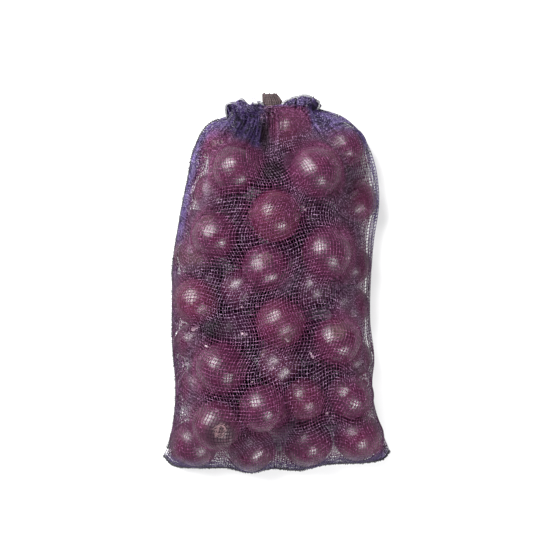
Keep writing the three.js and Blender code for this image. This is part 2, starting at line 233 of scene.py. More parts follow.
def fill_gaps(heap):
    """Adds smaller onions on the floor, the largest that fits first, until no room is left for one."""
    x, y = (np.arange(low, high + FILLER_STEP, FILLER_STEP) for low, high in FILLER_REACH)
    x, y = np.meshgrid(x, y)
    while True:
        apart = np.hypot(heap[:, 0] - x[..., None], heap[:, 1] - y[..., None])
        level, radius = heap[:, 2] - NET_SKIN, heap[:, 3] - FILLER_OVERLAP
        size = ((apart ** 2 + level ** 2 - radius ** 2) / (2 * (radius + level))).min(axis=-1)
        size = np.minimum(size, FILLER_RADII[1])
        reach = size + NET_SKIN
        left, right, foot = outline_at(x, y, MM)
        size[(x - reach < left) | (x + reach > right) | (y - reach < foot)] = 0
        best = np.unravel_index(size.argmax(), size.shape)
        if size[best] < FILLER_RADII[0]:
            return heap
        heap = np.vstack([heap, (x[best], y[best], size[best] + NET_SKIN, size[best])])


onions = MM * fill_gaps(settled_onions() / MM)
litres = 4000 / 3 * math.pi * float(np.sum(onions[:, 3] ** 3))
heap_top = float(np.max(onions[:, 2] + onions[:, 3]))
print(len(onions), "onions,", round(litres, 2), "litres, heap", round(heap_top, 3), "m high")

# %% [markdown]
# ## Camera, floor and light
# The bag is too soft to stand, so it lies down and the camera looks straight down on its upper face. A long lens keeps
# the far side of each onion as large as the near side, as in a product picture. Two soft boxes give each glossy onion
# its two highlights, a large one to the upper left and a smaller one to the lower right.

# %% Camera that looks straight down
LENS = 150
SENSOR = 36
VIEW_WIDTH = 0.6875  # metres of the bag's plane that the square picture takes in
AIM = Vector((-0.0019, 0.010, SIDE_FOLD_Z))
# Name, where it stands seen from the bag, size in metres and watts.
HIGHLIGHTS = (
    ("large_soft_box", (-0.52, 0.48, 0.70), 1.25, 108),
    ("small_soft_box", (0.43, -0.65, 0.62), 0.80, 44),
)
LIGHT_DISTANCE = 1.6
SKY = {"Color": (0.93, 0.94, 1.0, 1), "Strength": 0.18}


def link(thing):
    bpy.context.scene.collection.objects.link(thing)
    return thing


camera = link(bpy.data.objects.new("camera", bpy.data.cameras.new("camera")))
camera.data.lens = LENS
camera.data.sensor_width = SENSOR
camera.location = AIM + Vector((0, 0, VIEW_WIDTH * LENS / SENSOR))
camera.rotation_euler = (0, 0, 0)
bpy.context.scene.camera = camera
bpy.context.scene.view_settings.view_transform = "Standard"

for name, stand, size, watts in HIGHLIGHTS:
    lamp = bpy.data.lights.new(name, "AREA")
    lamp.energy = watts
    lamp.size = size
    held = link(bpy.data.objects.new(name, lamp))
    away = Vector(stand).normalized()
    held.location = AIM + away * LIGHT_DISTANCE
    held.rotation_euler = away.to_track_quat("Z", "Y").to_euler()

world = bpy.data.worlds.new("studio")
bpy.context.scene.world = world
world.use_nodes = True
for socket, value in SKY.items():
    world.node_tree.nodes["Background"].inputs[socket].default_value = value
print("camera", [round(v, 3) for v in camera.location])

# %% [markdown]
# ## Helpers for nodes and meshes
# Shader nodes and geometry nodes are built in the same way: add a node, give each input a value or a link. One short
# helper does both, so that each material and each tree below reads as a list of what it is made of.

# %% Helpers


def colour(red, green, blue):
    """A screen colour from 0 to 255 as the linear colour that shaders take."""
    shares = [v / 255 for v in (red, green, blue)]
    return tuple(v / 12.92 if v <= 0.04045 else ((v + 0.055) / 1.055) ** 2.4 for v in shares) + (1.0,)


def node(tree, kind, inputs=None, **settings):
    """Adds a node. An input, by name or number, takes a value or a socket to link."""
    made = tree.nodes.new(kind)
    for key, value in settings.items():
        setattr(made, key, value)
    for key, value in (inputs or {}).items():
        if isinstance(value, bpy.types.NodeSocket):
            tree.links.new(value, made.inputs[key])
        else:
            made.inputs[key].default_value = value
    return made


def maths(tree, operation, *values):
    return node(tree, "ShaderNodeMath", dict(enumerate(values)), operation=operation).outputs[0]


def mixed(tree, factor, first, second):
    """A blend of two colours."""
    return node(tree, "ShaderNodeMix", {0: factor, 6: first, 7: second}, data_type="RGBA").outputs[2]


def ramp(tree, value, low, high, to_low=0.0, to_high=1.0):
    """Stretches value from low..high to to_low..to_high, and clips it there."""
    inputs = {"Value": value, "From Min": low, "From Max": high, "To Min": to_low, "To Max": to_high}
    return node(tree, "ShaderNodeMapRange", inputs, interpolation_type="SMOOTHSTEP").outputs[0]


def times(tree, a, b):
    return maths(tree, "MULTIPLY", a, b)


def attribute(tree, name, output="Fac"):
    """What each vertex of the mesh carries under that name."""
    return node(tree, "ShaderNodeAttribute", attribute_name=name).outputs[output]


def noise(tree, where, scale, detail, **inputs):
    return node(tree, "ShaderNodeTexNoise", {"Vector": where, "Scale": scale, "Detail": detail, **inputs}).outputs[0]


def new_group(name, kind, inputs, outputs):
    """A node group. Each input names its kind of socket or gives its default. Returns the tree, the sockets of its
    input node and its output node."""
    tree = bpy.data.node_groups.new(name, kind)
    for label, given in inputs.items():
        socket = given if isinstance(given, str) else {float: "Float", int: "Int", tuple: "Vector"}[type(given)]
        made = tree.interface.new_socket(label, in_out="INPUT", socket_type="NodeSocket" + socket)
        if given != socket:
            made.default_value = given
    for label, socket in outputs.items():
        tree.interface.new_socket(label, in_out="OUTPUT", socket_type="NodeSocket" + socket)
    return tree, tree.nodes.new("NodeGroupInput").outputs, tree.nodes.new("NodeGroupOutput")


def use_group(tree, group, inputs):
    return node(tree, "ShaderNodeGroup", inputs, node_tree=group).outputs


def new_material(name, roughness=None):
    """A material, its tree and its Principled shader."""
    material = bpy.data.materials.new(name)
    material.use_nodes = True
    shader = material.node_tree.nodes["Principled BSDF"]
    if roughness is not None:
        shader.inputs["Roughness"].default_value = roughness
    return material, material.node_tree, shader


def new_mesh(name, vertices, edges=(), faces=()):
    mesh = bpy.data.meshes.new(name)
    mesh.from_pydata([tuple(v) for v in vertices], list(edges), list(faces))
    if faces:
        mesh.polygons.foreach_set("use_smooth", [True] * len(mesh.polygons))
    return mesh


def add_object(mesh, material):
    mesh.materials.append(material)
    return link(bpy.data.objects.new(mesh.name, mesh))


def set_attribute(mesh, name, values):
    """Stores one value or vector for each vertex, for shaders and geometry nodes to read."""
    kind, field = ("FLOAT_VECTOR", "vector") if np.ndim(values) == 2 else ("FLOAT", "value")
    layer = mesh.attributes.new(name, kind, "POINT")
    layer.data.foreach_set(field, np.asarray(values, np.float32).ravel())


def run_tree(name, mesh, tree, values):
    """Runs a geometry nodes tree on a mesh, and returns what it grows as a plain object."""
    holder = link(bpy.data.objects.new(name + "_lines", mesh))
    modifier = holder.modifiers.new("grow", "NODES")
    modifier.node_group = tree
    sockets = {item.name: item.identifier for item in tree.interface.items_tree if item.in_out == "INPUT"}
    for label, value in values.items():
        modifier[sockets[label]] = value
    bpy.context.view_layer.update()
    grown = bpy.data.meshes.new_from_object(holder.evaluated_get(bpy.context.evaluated_depsgraph_get()))
    bpy.data.objects.remove(holder)
    grown.name = name
    return link(bpy.data.objects.new(name, grown))


def dress(piece, slot, *replaced):
    """Every piece rides on the one body, and the parts that it replaces are hidden; its slot is not used."""
    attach(piece, "root")
    if replaced:
        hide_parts(*replaced)
    piece.data.calc_loop_triangles()
    print(piece.name, len(piece.data.loop_triangles), "triangles")
    return piece


# %% The floor
FLOOR_SIDE = 6.0
FLOOR_GREY = (0.62, 0.62, 0.62, 1)
corners = [(x * FLOOR_SIDE / 2, y * FLOOR_SIDE / 2, 0) for x, y in ((-1, -1), (1, -1), (1, 1), (-1, 1))]
paper, tree, shader = new_material("white_paper", roughness=0.9)
shader.inputs["Base Color"].default_value = FLOOR_GREY
floor = add_object(new_mesh("floor", corners, (), [(0, 1, 2, 3)]), paper)

# %% [markdown]
# ## Onion skin
# A red onion's outer skin is a thin dry leaf. Its veins run from root to neck, its colour is a deep wine that turns
# brown where it has dried, and it shines like varnish. The veins must follow each onion, whichever way it lies, so
# every vertex carries its direction seen from the onion's own middle. Noise that is squeezed round the onion and
# stretched along it then draws veins that meet at both ends. It is a node group, since the dry neck in the mouth shows
# the same veins.

# %% Shader group: veins that run from root to neck
VEIN_STRETCH = 0.55
POLE_WIDTH = 0.02  # nearer to the axis than this the veins no longer close up
VEIN_SPREAD = (0.35, 0.68)  # the noise values between which a vein fades in
MOTTLE_SPREAD = (0.32, 0.68)


def vein_group():
    inputs = {"Direction": (0, 0, 1), "Count": 9.0, "Seed": 0.0}
    outputs = {"Veins": "Float", "Mottle": "Float"}
    tree, given, out = new_group("Meridian Veins", "ShaderNodeTree", inputs, outputs)
    axes = node(tree, "ShaderNodeSeparateXYZ", {0: given["Direction"]}).outputs
    squares = maths(tree, "ADD", times(tree, axes[0], axes[0]), times(tree, axes[1], axes[1]))
    width = maths(tree, "MAXIMUM", maths(tree, "SQRT", squares), POLE_WIDTH)
    around = [times(tree, maths(tree, "DIVIDE", axis, width), given["Count"]) for axis in axes[:2]]
    height = maths(tree, "ADD", times(tree, axes[2], VEIN_STRETCH), given["Seed"])
    wound = node(tree, "ShaderNodeCombineXYZ", {0: around[0], 1: around[1], 2: height}).outputs[0]
    streaks = noise(tree, wound, 1.0, 4.0, Roughness=0.62)
    tree.links.new(ramp(tree, streaks, *VEIN_SPREAD), out.inputs["Veins"])
    moved = node(tree, "ShaderNodeVectorMath", {0: given["Direction"], 1: given["Seed"]}, operation="ADD")
    patches = noise(tree, moved.outputs[0], 1.7, 3.0)
    tree.links.new(ramp(tree, patches, *MOTTLE_SPREAD), out.inputs["Mottle"])
    return tree


veins = vein_group()
print("veins group:", [item.name for item in veins.interface.items_tree])

# %% Material: glossy wine-red skin that dries to brown at neck and root
WINE = colour(67, 20, 45)
DEEP_WINE = colour(47, 12, 35)
REDDISH = colour(85, 29, 46)
VEIN_DARK = colour(36, 9, 27)
# Painted shade: the onions inside the heap take this dark colour in place of the shade that falls on them.
PAINTED_SHADE_SKIN = colour(34, 13, 30)
DRY_BROWN = colour(78, 48, 52)
DRY_DARK = colour(38, 18, 26)
VEIN_RELIEF = 0.25 * MM
COARSE_VEINS, FINE_VEINS = 5.5, 17.0  # how many run round an onion
TONE_SEED = 37.0  # spreads the tones, so that no two onions have the same veins
RED_TONES = (0.55, 1.0)  # tones between which the skin turns reddish
RED_SHARE, COARSE_SHARE, FINE_SHARE, PAINTED_SHADE_SHARE = 0.7, 0.45, 0.40, 0.85  # how far each blend goes
SATIN = (0.27, 0.40)  # roughness of a fresh skin
DRY_ROUGHNESS = 0.45  # on top of it where the skin is dry
INNER_GLOSS = 0.15  # of the onions inside the heap, as a share
SPECULAR, COAT = 0.5, 0.12
PAINTED_SHADE_TONE = -0.5  # tone of the onions inside the heap: their skin is painted dark as painted shade, and is less glossy


def skin_material():
    material, tree, shader = new_material("onion_skin")
    direction = attribute(tree, "onion_direction", "Vector")
    tone, dry = attribute(tree, "onion_tone"), attribute(tree, "onion_dry")
    seed = times(tree, tone, TONE_SEED)
    coarse = use_group(tree, veins, {"Direction": direction, "Count": COARSE_VEINS, "Seed": seed})
    fine = use_group(tree, veins, {"Direction": direction, "Count": FINE_VEINS, "Seed": seed})
    hue = mixed(tree, coarse["Mottle"], WINE, DEEP_WINE)
    hue = mixed(tree, times(tree, ramp(tree, tone, *RED_TONES), RED_SHARE), hue, REDDISH)
    hue = mixed(tree, times(tree, coarse["Veins"], COARSE_SHARE), hue, DEEP_WINE)
    hue = mixed(tree, times(tree, fine["Veins"], FINE_SHARE), hue, VEIN_DARK)
    # Painted shade on the onions inside the heap.
    hue = mixed(tree, ramp(tree, tone, PAINTED_SHADE_TONE, 0.0, PAINTED_SHADE_SHARE, 0.0), hue, PAINTED_SHADE_SKIN)
    hue = mixed(tree, dry, hue, mixed(tree, fine["Veins"], DRY_BROWN, DRY_DARK))
    satin = ramp(tree, fine["Mottle"], 0.0, 1.0, *SATIN)
    gloss = ramp(tree, tone, PAINTED_SHADE_TONE, 0.0, INNER_GLOSS, 1.0)
    bump = node(tree, "ShaderNodeBump", {"Height": fine["Veins"], "Strength": 0.35, "Distance": VEIN_RELIEF})
    for socket, value in (
        ("Base Color", hue), ("Roughness", maths(tree, "ADD", satin, times(tree, dry, DRY_ROUGHNESS))),
        ("Specular IOR Level", times(tree, gloss, SPECULAR)), ("Coat Weight", times(tree, gloss, COAT)),
        ("Normal", bump.outputs[0]),
    ):
        tree.links.new(value, shader.inputs[socket])
    shader.inputs["Coat Roughness"].default_value = 0.2
    return material


skin = skin_material()

# %% [markdown]
# Everything fibrous on the bag, such as threads and flakes, varies between a dark and a pale colour; on the net over
# the neck the pale is painted glints. They share one more node group, which blends the two by a noise in space.

# %% Shader group: two colours blended by noise, and a plain material with it
def speckle_group():
    tree, given, out = new_group("Speckle", "ShaderNodeTree", {
        "Where": (0, 0, 0), "Scale": 500.0, "Detail": 2.0, "Low": 0.4, "High": 0.6, "Dark": "Color", "Pale": "Color",
    }, {"Color": "Color"})
    share = ramp(tree, noise(tree, given["Where"], given["Scale"], given["Detail"]), given["Low"], given["High"])
    tree.links.new(mixed(tree, share, given["Dark"], given["Pale"]), out.inputs["Color"])
    return tree


speckle = speckle_group()


def speckled_material(name, dark, pale, scale, spread, roughness, detail=2.0):
    material, tree, shader = new_material(name, roughness)
    hue = use_group(tree, speckle, {
        "Where": node(tree, "ShaderNodeTexCoord").outputs["Object"], "Scale": scale, "Detail": detail,
        "Low": spread[0], "High": spread[1], "Dark": colour(*dark), "Pale": colour(*pale),
    })
    tree.links.new(hue[0], shader.inputs["Base Color"])
    return material


# %% [markdown]
# ## The onions
# A red onion is a flattened globe that narrows to a dry neck at one end and ends in a small hollow root plate at the
# other. Turning a profile is the natural way to make it. A plain turned shape would look like a marble, though, so
# each onion is turned with its own faint ribs, lumps and height, and its neck is pinched and wrinkled.

# %% Onion profile, as shares of the radius: distance from the axis and height, from the neck's tip to the root
PROFILE = np.array([
    (0.0, 0.73), (0.07, 0.735), (0.12, 0.785), (0.128, 0.76), (0.135, 0.735), (0.20, 0.70), (0.38, 0.65),
    (0.66, 0.53), (0.88, 0.34), (0.985, 0.12), (0.99, -0.10), (0.90, -0.37), (0.69, -0.59), (0.41, -0.715),
    (0.20, -0.765), (0.13, -0.775), (0.09, -0.76), (0.0, -0.74),
])
RINGS = 34
AROUND = 60
DRY_ABOVE = 0.69  # the neck is dry above this height, and the root plate below the next
DRY_BELOW = -0.74
HEIGHT_RANGE = (1.19, 1.29)  # of single onions, as factors
RIB_DEPTH = 0.010
LUMP_DEPTH = 0.014
PINCH = 0.38  # of the neck

# Which way the neck points, for the onions whose neck or root shows: number in the heap to a direction.
SHOWN_NECKS = {
    14: (-0.62, 0.78, 0.05),
    24: (-0.35, 0.75, 0.55),
    25: (0.05, 0.42, 0.90),
    27: (0.30, -0.62, 0.72),
    28: (-0.05, -0.42, -0.90),
    31: (-0.20, 0.17, -0.96),
}
# Skin tone, from deep wine at 0 to red at 1, and share of dried brown skin.
SHOWN_TONES = {3: (0.6, 0.42), 10: (1.0, 0.1), 14: (0.9, 0.0), 27: (0.8, 0.0), 31: (0.3, 0.12)}
ONION_SEED = 1000
NECK_TILT = 0.42  # how far from level the other necks may point, as a share of their length


def neck_direction(number, draw):
    """A chosen direction, or a random one that is close to level, as onions lie on their sides."""
    spin = draw.uniform(0, 2 * math.pi)
    tilt = draw.uniform(-NECK_TILT, NECK_TILT)
    free = Vector((math.cos(spin), math.sin(spin), tilt))
    return Vector(SHOWN_NECKS.get(number, free)).normalized()


def turned_faces(rings, around, first, poles):
    """Faces of a turned form whose rings of vertices start at index first, closed towards a pole at each end."""
    faces = []
    for ring in range(rings - 1):
        for k in range(around):
            a, b, after = first + ring * around, first + (ring + 1) * around, (k + 1) % around
            faces.append((a + k, b + k, b + after, a + after))
    last = first + (rings - 1) * around
    for k in range(around):
        after = (k + 1) % around
        faces += [(last + k, poles[1], last + after), (first + after, poles[0], first + k)]
    return faces


def onion_mesh(name, radius, tone, browned, draw):
    """A turned, ribbed and lumpy onion about the origin, with its neck along +Z."""
    rows = smooth_line(PROFILE, RINGS)
    tall = draw.uniform(*HEIGHT_RANGE)
    turn = np.linspace(0, 2 * math.pi, AROUND, endpoint=False)
    phase = [draw.uniform(0, 2 * math.pi) for _ in range(5)]
    ribs = draw.choice((5, 6, 7, 8))
    t, out = np.meshgrid(turn, rows[:, 0])
    up = np.repeat(rows[:, 1][:, None], AROUND, axis=1)
    shape = 1 - RIB_DEPTH + RIB_DEPTH * np.sin(ribs * t + phase[0] + 0.6 * up)
    lump = np.sin(2 * t + phase[1] + up) + np.sin(3 * t + phase[2] - 2 * up) - 2
    shape += 0.5 * LUMP_DEPTH * lump
    narrow = smoothstep(up, DRY_ABOVE - 0.04, DRY_ABOVE + 0.08)
    pinch = np.cos(2 * t + phase[3]) + 0.35 * np.sin(7 * t + phase[4]) + 0.25 * np.sin(11 * t + 9 * up)
    shape *= 1 + PINCH * narrow * pinch
    high = tall * (up + 0.02 * narrow * pinch)
    points = np.stack([out * shape * np.cos(t), out * shape * np.sin(t), high], axis=-1)
    points[0, :] = points[0].mean(axis=0)
    points[-1, :] = points[-1].mean(axis=0)
    inner = points[1:-1].reshape(-1, 3)
    vertices = radius * np.vstack([points[0, :1], inner, points[-1, :1]])
    mesh = new_mesh(name, vertices, (), turned_faces(RINGS - 1, AROUND, 1, (0, len(vertices) - 1)))
    height = vertices[:, 2] / radius / tall
    out_of_axis = np.linalg.norm(vertices[:, :2], axis=1) / radius
    neck = smoothstep(height, DRY_ABOVE - 0.05, DRY_ABOVE + 0.06) * (1 - smoothstep(out_of_axis, 0.2, 0.5))
    root = (1 - smoothstep(height, DRY_BELOW - 0.01, DRY_BELOW + 0.09)) * (1 - smoothstep(out_of_axis, 0.16, 0.4))
    set_attribute(mesh, "onion_direction", unit(vertices))
    set_attribute(mesh, "onion_dry", np.maximum.reduce([neck, root, np.full(len(vertices), browned)]))
    set_attribute(mesh, "onion_tone", np.full(len(vertices), tone))
    return mesh


def place_onion(number, x, y, z, radius):
    draw = random.Random(ONION_SEED + number)
    axis = neck_direction(number, draw)
    tone, browned = SHOWN_TONES.get(number, (draw.random(), 0.0))
    # The onions inside the heap take the tone that paints their skin in shade.
    if number >= len(SEEN_ONIONS):
        tone = PAINTED_SHADE_TONE
    mesh = onion_mesh(f"onion_{number:02d}", radius, tone, browned, draw)
    turn = axis.to_track_quat("Z", "Y").to_matrix().to_4x4()
    mesh.transform(Matrix.Translation((x, y, z)) @ turn @ Matrix.Rotation(draw.uniform(0, 2 * math.pi), 4, "Z"))
    return add_object(mesh, skin), axis


placed = [place_onion(number, *map(float, row)) for number, row in enumerate(onions)]
for onion, _ in placed:
    dress(onion, "onion_skin")

# %% [markdown]
# ## The net drawn tight over the heap
# A net that is pulled over a heap behaves like a sheet of rubber: each point moves to the mean of its neighbours, and
# whatever enters an onion is pushed out again. A cloth simulation finds the same shape far more slowly. The net is
# first drawn on a coarse grid, then on a fine one whose lines are the real threads, about 3 to 4 mm apart.

# %% Drawing a grid tight
COARSE = (36, 56)  # meshes across the bag and along it
FINE = (100, 118)
RELAX_STEPS = 400
FINE_STEPS = 50
EVEN_ROUNDS = 14
EVEN_SHARE = 0.6  # of the way to equal steps in each round
SMOOTH_PULL = 0.5
START_HEIGHT = 150 * MM
OVER_RELAX = 1.6
SLACK = 0.22 * MM  # the front face tightens by this much at each step
FINE_SLACK = 0.06 * MM
BACK_WEIGHT = 0.5 * MM  # and the back face sinks by this much
MIDDLE_Z = 30 * MM
# The gather is uneven: shares of the net's width, and the shares of the mouth's width where they come to lie.
GATHER = ((0, 0.25, 0.51, 0.56, 0.74, 0.79, 1), (0, 0.17, 0.35, 0.41, 0.70, 0.78, 1))
THREAD_CLEAR = 0.75 * MM  # from a thread's middle to what it lies on


def clear_of_onions(points, gap):
    """Moves every point that is inside an onion's skin out to gap above it."""
    for x, y, z, radius in onions:
        away = points - (x, y, z)
        distance = np.linalg.norm(away, axis=-1)
        inside = distance < radius + gap
        if inside.any():
            points[inside] = (x, y, z) + away[inside] * ((radius + gap) / distance[inside])[:, None]


def hung_grid(edges, columns, rows):
    """The smooth patch between four edge lines."""
    foot, mouth, left, right = edges
    u = steps(columns)[None, :, None]
    v = steps(rows)[:, None, None]
    across = left[:, None] * (1 - u) + right[:, None] * u
    along = foot[None] * (1 - v) + mouth[None] * v
    ends = (foot[0] * (1 - u) + foot[-1] * u) * (1 - v) + (mouth[0] * (1 - u) + mouth[-1] * u) * v
    return across + along - ends


def draw_tight(grid, side, steps, pull, gap, slack, weight):
    """Relaxes the grid's inner points, black ones and white ones in turn, as on a chessboard."""
    rows, columns = grid.shape[:2]
    j, i = np.mgrid[1:rows - 1, 1:columns - 1]
    floor_z = 2 * NET_SKIN * MM if side > 0 else NET_SKIN * MM - gap
    for _ in range(steps):
        for shade in (0, 1):
            chosen = (i + j) % 2 == shade
            points = grid[1:-1, 1:-1][chosen]
            neighbours = (grid[:-2, 1:-1], grid[2:, 1:-1], grid[1:-1, :-2], grid[1:-1, 2:])
            points += pull * (sum(near[chosen] for near in neighbours) / 4 - points)
            if side > 0:
                inward = points * (1, 0, 1) - (0, 0, MIDDLE_Z)
                points -= slack * inward / np.linalg.norm(inward, axis=1)[:, None]
            else:
                points[:, 2] -= weight
            clear_of_onions(points, gap)
            points[:, 2] = np.maximum(points[:, 2], floor_z)
            grid[1:-1, 1:-1][chosen] = points


def spread_evenly(grid, side, gap):
    """Slides the threads over the drawn surface until each one has equal steps, as cloth that can't stretch has."""
    for _ in range(EVEN_ROUNDS):
        for lines in (grid, grid.transpose(1, 0, 2)):
            for line in lines[1:-1]:
                run = run_along(line)
                even = np.linspace(0, run[-1], len(line))
                line[:] = points_at(line, run, even + (1 - EVEN_SHARE) * (run - even))
        draw_tight(grid, side, 2, SMOOTH_PULL, gap, 0, 0)


def mouth_arc(side, count):
    """The mouth's edge on one face, bowed out from the line between the ends of the folds."""
    u = steps(count)
    if side > 0:
        u = np.interp(u, *GATHER)
    left, right = LEFT_FOLD[-1], RIGHT_FOLD[-1]
    bow = np.sin(np.pi * u).clip(0) ** MOUTH_FULLNESS
    return np.column_stack([
        left[0] + (right[0] - left[0]) * u,
        left[1] + (right[1] - left[1]) * u,
        MOUTH_Z + side * MOUTH_HALF_DEPTH * bow,
    ])


def bag_edges(side, columns, rows, gap):
    edges = [
        edge_line(FOOT_SEAM, columns, FOOT_SEAM_Z),
        mouth_arc(side, columns),
        edge_line(LEFT_FOLD, rows, SIDE_FOLD_Z),
        edge_line(RIGHT_FOLD, rows, SIDE_FOLD_Z),
    ]
    for line in (edges[0], edges[2], edges[3]):
        clear_of_onions(line, gap)
    return edges


def finer(grid, columns, rows):
    """The same surface on a finer grid."""
    j = np.linspace(0, grid.shape[0] - 1, rows + 1)
    i = np.linspace(0, grid.shape[1] - 1, columns + 1)
    j0 = np.minimum(j.astype(int), grid.shape[0] - 2)
    i0 = np.minimum(i.astype(int), grid.shape[1] - 2)
    fj, fi = (j - j0)[:, None, None], (i - i0)[None, :, None]
    low = grid[j0][:, i0] * (1 - fi) + grid[j0][:, i0 + 1] * fi
    high = grid[j0 + 1][:, i0] * (1 - fi) + grid[j0 + 1][:, i0 + 1] * fi
    return low * (1 - fj) + high * fj


def draped_face(side):
    """One face of the bag on the grid of its threads."""
    columns, rows = COARSE
    grid = hung_grid(bag_edges(side, columns, rows, NET_SKIN * MM), columns, rows)
    if side > 0:
        u = steps(columns)[None, 1:-1]
        v = steps(rows)[1:-1, None]
        grid[1:-1, 1:-1, 2] += START_HEIGHT * np.sin(np.pi * u) * np.sin(np.pi * v) ** 0.3
    else:
        grid[1:-1, 1:-1, 2] = 0
    draw_tight(grid, side, RELAX_STEPS, OVER_RELAX, NET_SKIN * MM, SLACK, BACK_WEIGHT)
    columns, rows = FINE
    grid = finer(grid, columns, rows)
    foot, mouth, left, right = bag_edges(side, columns, rows, THREAD_CLEAR)
    grid[0], grid[-1], grid[:, 0], grid[:, -1] = foot, mouth, left, right
    draw_tight(grid, side, FINE_STEPS, OVER_RELAX, THREAD_CLEAR, FINE_SLACK, BACK_WEIGHT / 4)
    spread_evenly(grid, side, THREAD_CLEAR)
    return grid


front = draped_face(1)
back = draped_face(-1)
print("net grid", front.shape, "highest point", round(float(front[..., 2].max()), 4))

# %% [markdown]
# ## The gathered mouth
# The mouth is drawn in to less than half the net's width, so the spare width stands up in pleats, and above them the
# hem opens in a ruffled frill. Its top edge rises in two rounded tufts on the left and a broad one on the right. Both
# come from the same grid: extra rows that go up the outside of the frill and come down inside it.

# %% Pleats and frill
PLEATS = 10  # on each face
PLEAT_DEPTH = 7.5 * MM
PLEAT_ROLL = 2.2 * MM
PLEAT_RUN = 75 * MM
HEM_ROWS = 5
HEM_FLARE = 3.0 * MM
HEM_WAVE = 4.0 * MM
HEM_ROLL = 2.6 * MM
HEM_INSET = (0.95, 0.80)
SMOOTH_PART = (0.51, 0.56, 0.73, 0.79)  # shares of the front's width between which it stays smooth, over an onion
SMOOTHED = 0.93
HEM_TOP = MM * np.array([
    (-66, 210), (-63, 218), (-58, 221), (-50, 221), (-46, 225), (-42, 226.5), (-38, 223), (-34, 216), (-31, 220),
    (-24, 221.5), (-18, 219), (-15, 218), (0, 220), (7, 221), (14, 225), (20, 228), (26, 229), (34, 231), (42, 229),
    (48, 226), (52, 222), (57, 215),
])


def pleat_phase(columns, side):
    u = steps(columns)
    return 2 * np.pi * PLEATS * u + 0.9 * np.sin(31 * u + side) + 0.7 * np.sin(70 * u + 2 * side)


def fullness(columns, side):
    """How full the gather is at each column, from 0 where the net is smooth to 1."""
    u = steps(columns)
    if side < 0:
        return np.sin(np.pi * u).clip(0)
    smooth_part = smoothstep(u, *SMOOTH_PART[:2]) * (1 - smoothstep(u, *SMOOTH_PART[2:]))
    return (1 - SMOOTHED * smooth_part) * np.sqrt(np.sin(np.pi * u).clip(0))


def pleated(grid, side):
    """Adds the pleats that die out down the face."""
    columns = grid.shape[1] - 1
    phase = pleat_phase(columns, side)[None]
    top = grid[-1, :, 1][None]
    near = smoothstep(grid[..., 1], top - PLEAT_RUN, top) ** 1.5
    full = near * fullness(columns, side)[None]
    grid[..., 0] += PLEAT_ROLL * full * np.cos(phase)
    grid[..., 2] += side * PLEAT_DEPTH * full * (0.45 + 0.55 * np.sin(phase))
    grid[..., 2] = np.maximum(grid[..., 2], THREAD_CLEAR)
    return grid


def hem_rows(grid, side):
    """Rows that go up the outside of the frill and down its inside."""
    mouth = grid[-1]
    columns = len(mouth) - 1
    u = steps(columns)
    full = fullness(columns, side)
    phase = pleat_phase(columns, side)
    middle = (mouth[0, 0] + mouth[-1, 0]) / 2
    top = np.interp(mouth[:, 0], HEM_TOP[:, 0], HEM_TOP[:, 1])

    def outside(rise):
        turn = phase + 0.8 * rise
        x = mouth[:, 0] - rise * HEM_FLARE * np.cos(np.pi * u) + rise * full * HEM_ROLL * np.cos(turn)
        y = mouth[:, 1] + rise * (top - mouth[:, 1])
        z = mouth[:, 2] + side * rise * full * HEM_WAVE * np.sin(turn)
        return np.column_stack([x, y, z])

    def inside(rise):
        rim = outside(rise)
        x = middle + (rim[:, 0] - middle) * HEM_INSET[0]
        return np.column_stack([x, rim[:, 1], MOUTH_Z + (rim[:, 2] - MOUTH_Z) * HEM_INSET[1]])

    rises = [(k + 1) / HEM_ROWS for k in range(HEM_ROWS)]
    return np.array([outside(r) for r in rises] + [inside(r) for r in reversed(rises)])


front = pleated(front, 1)
back = pleated(back, -1)
front_hem, back_hem = hem_rows(front, 1), hem_rows(back, -1)
print("hem reaches y =", round(float(max(front_hem[..., 1].max(), back_hem[..., 1].max())), 4))

# %% [markdown]
# ## Threads
# The net is woven with leno warps: across it run flat tapes, and along it pairs of thin filaments that cross over
# between one tape and the next, which locks the tapes in place. Geometry nodes suit this well. Python lays out the
# lines and which way each point of them faces, and the tree gives every line its flat section, its uneven width and
# its material.

# %% Geometry nodes: lines to flat threads
def geo(tree, kind, inputs, **settings):
    """Adds a geometry node and returns its first output."""
    return node(tree, "GeometryNode" + kind, inputs, **settings).outputs[0]


def end_tree(tree, geometry, given, out):
    """Smooth and real geometry in the given material is what the tree gives back."""
    soft = geo(tree, "SetShadeSmooth", {"Geometry": geometry, "Shade Smooth": True})
    real = geo(tree, "RealizeInstances", {"Geometry": soft})
    done = geo(tree, "SetMaterial", {"Geometry": real, "Material": given["Material"]})
    tree.links.new(done, out.inputs["Geometry"])
    return tree


def thread_tree():
    tree, given, out = new_group("Flat Thread", "GeometryNodeTree", {
        "Geometry": "Geometry", "Width": 0.001, "Thickness": 0.0003, "Unevenness": 0.2, "Patch Size": 0.02,
        "Material": "Material",
    }, {"Geometry": "Geometry"})
    lines = geo(tree, "MeshToCurve", {"Mesh": given["Geometry"]})
    facing = geo(tree, "InputNamedAttribute", {"Name": "facing"}, data_type="FLOAT_VECTOR")
    turned = geo(tree, "SetCurveNormal", {"Curve": lines, "Normal": facing}, mode="FREE")
    frequency = maths(tree, "DIVIDE", 1.0, given["Patch Size"])
    uneven = node(tree, "ShaderNodeTexNoise", {"Scale": frequency, "Detail": 2.0}).outputs[0]
    swing = times(tree, maths(tree, "SUBTRACT", uneven, 0.5), times(tree, given["Unevenness"], 4.0))
    radius = maths(tree, "ADD", swing, 1.0)
    sized = geo(tree, "SetCurveRadius", {"Curve": turned, "Radius": radius})
    section = geo(tree, "CurvePrimitiveQuadrilateral", {"Width": given["Thickness"], "Height": given["Width"]})
    solid = geo(tree, "CurveToMesh", {"Curve": sized, "Profile Curve": section, "Scale": radius, "Fill Caps": True})
    return end_tree(tree, solid, given, out)


flat_thread = thread_tree()
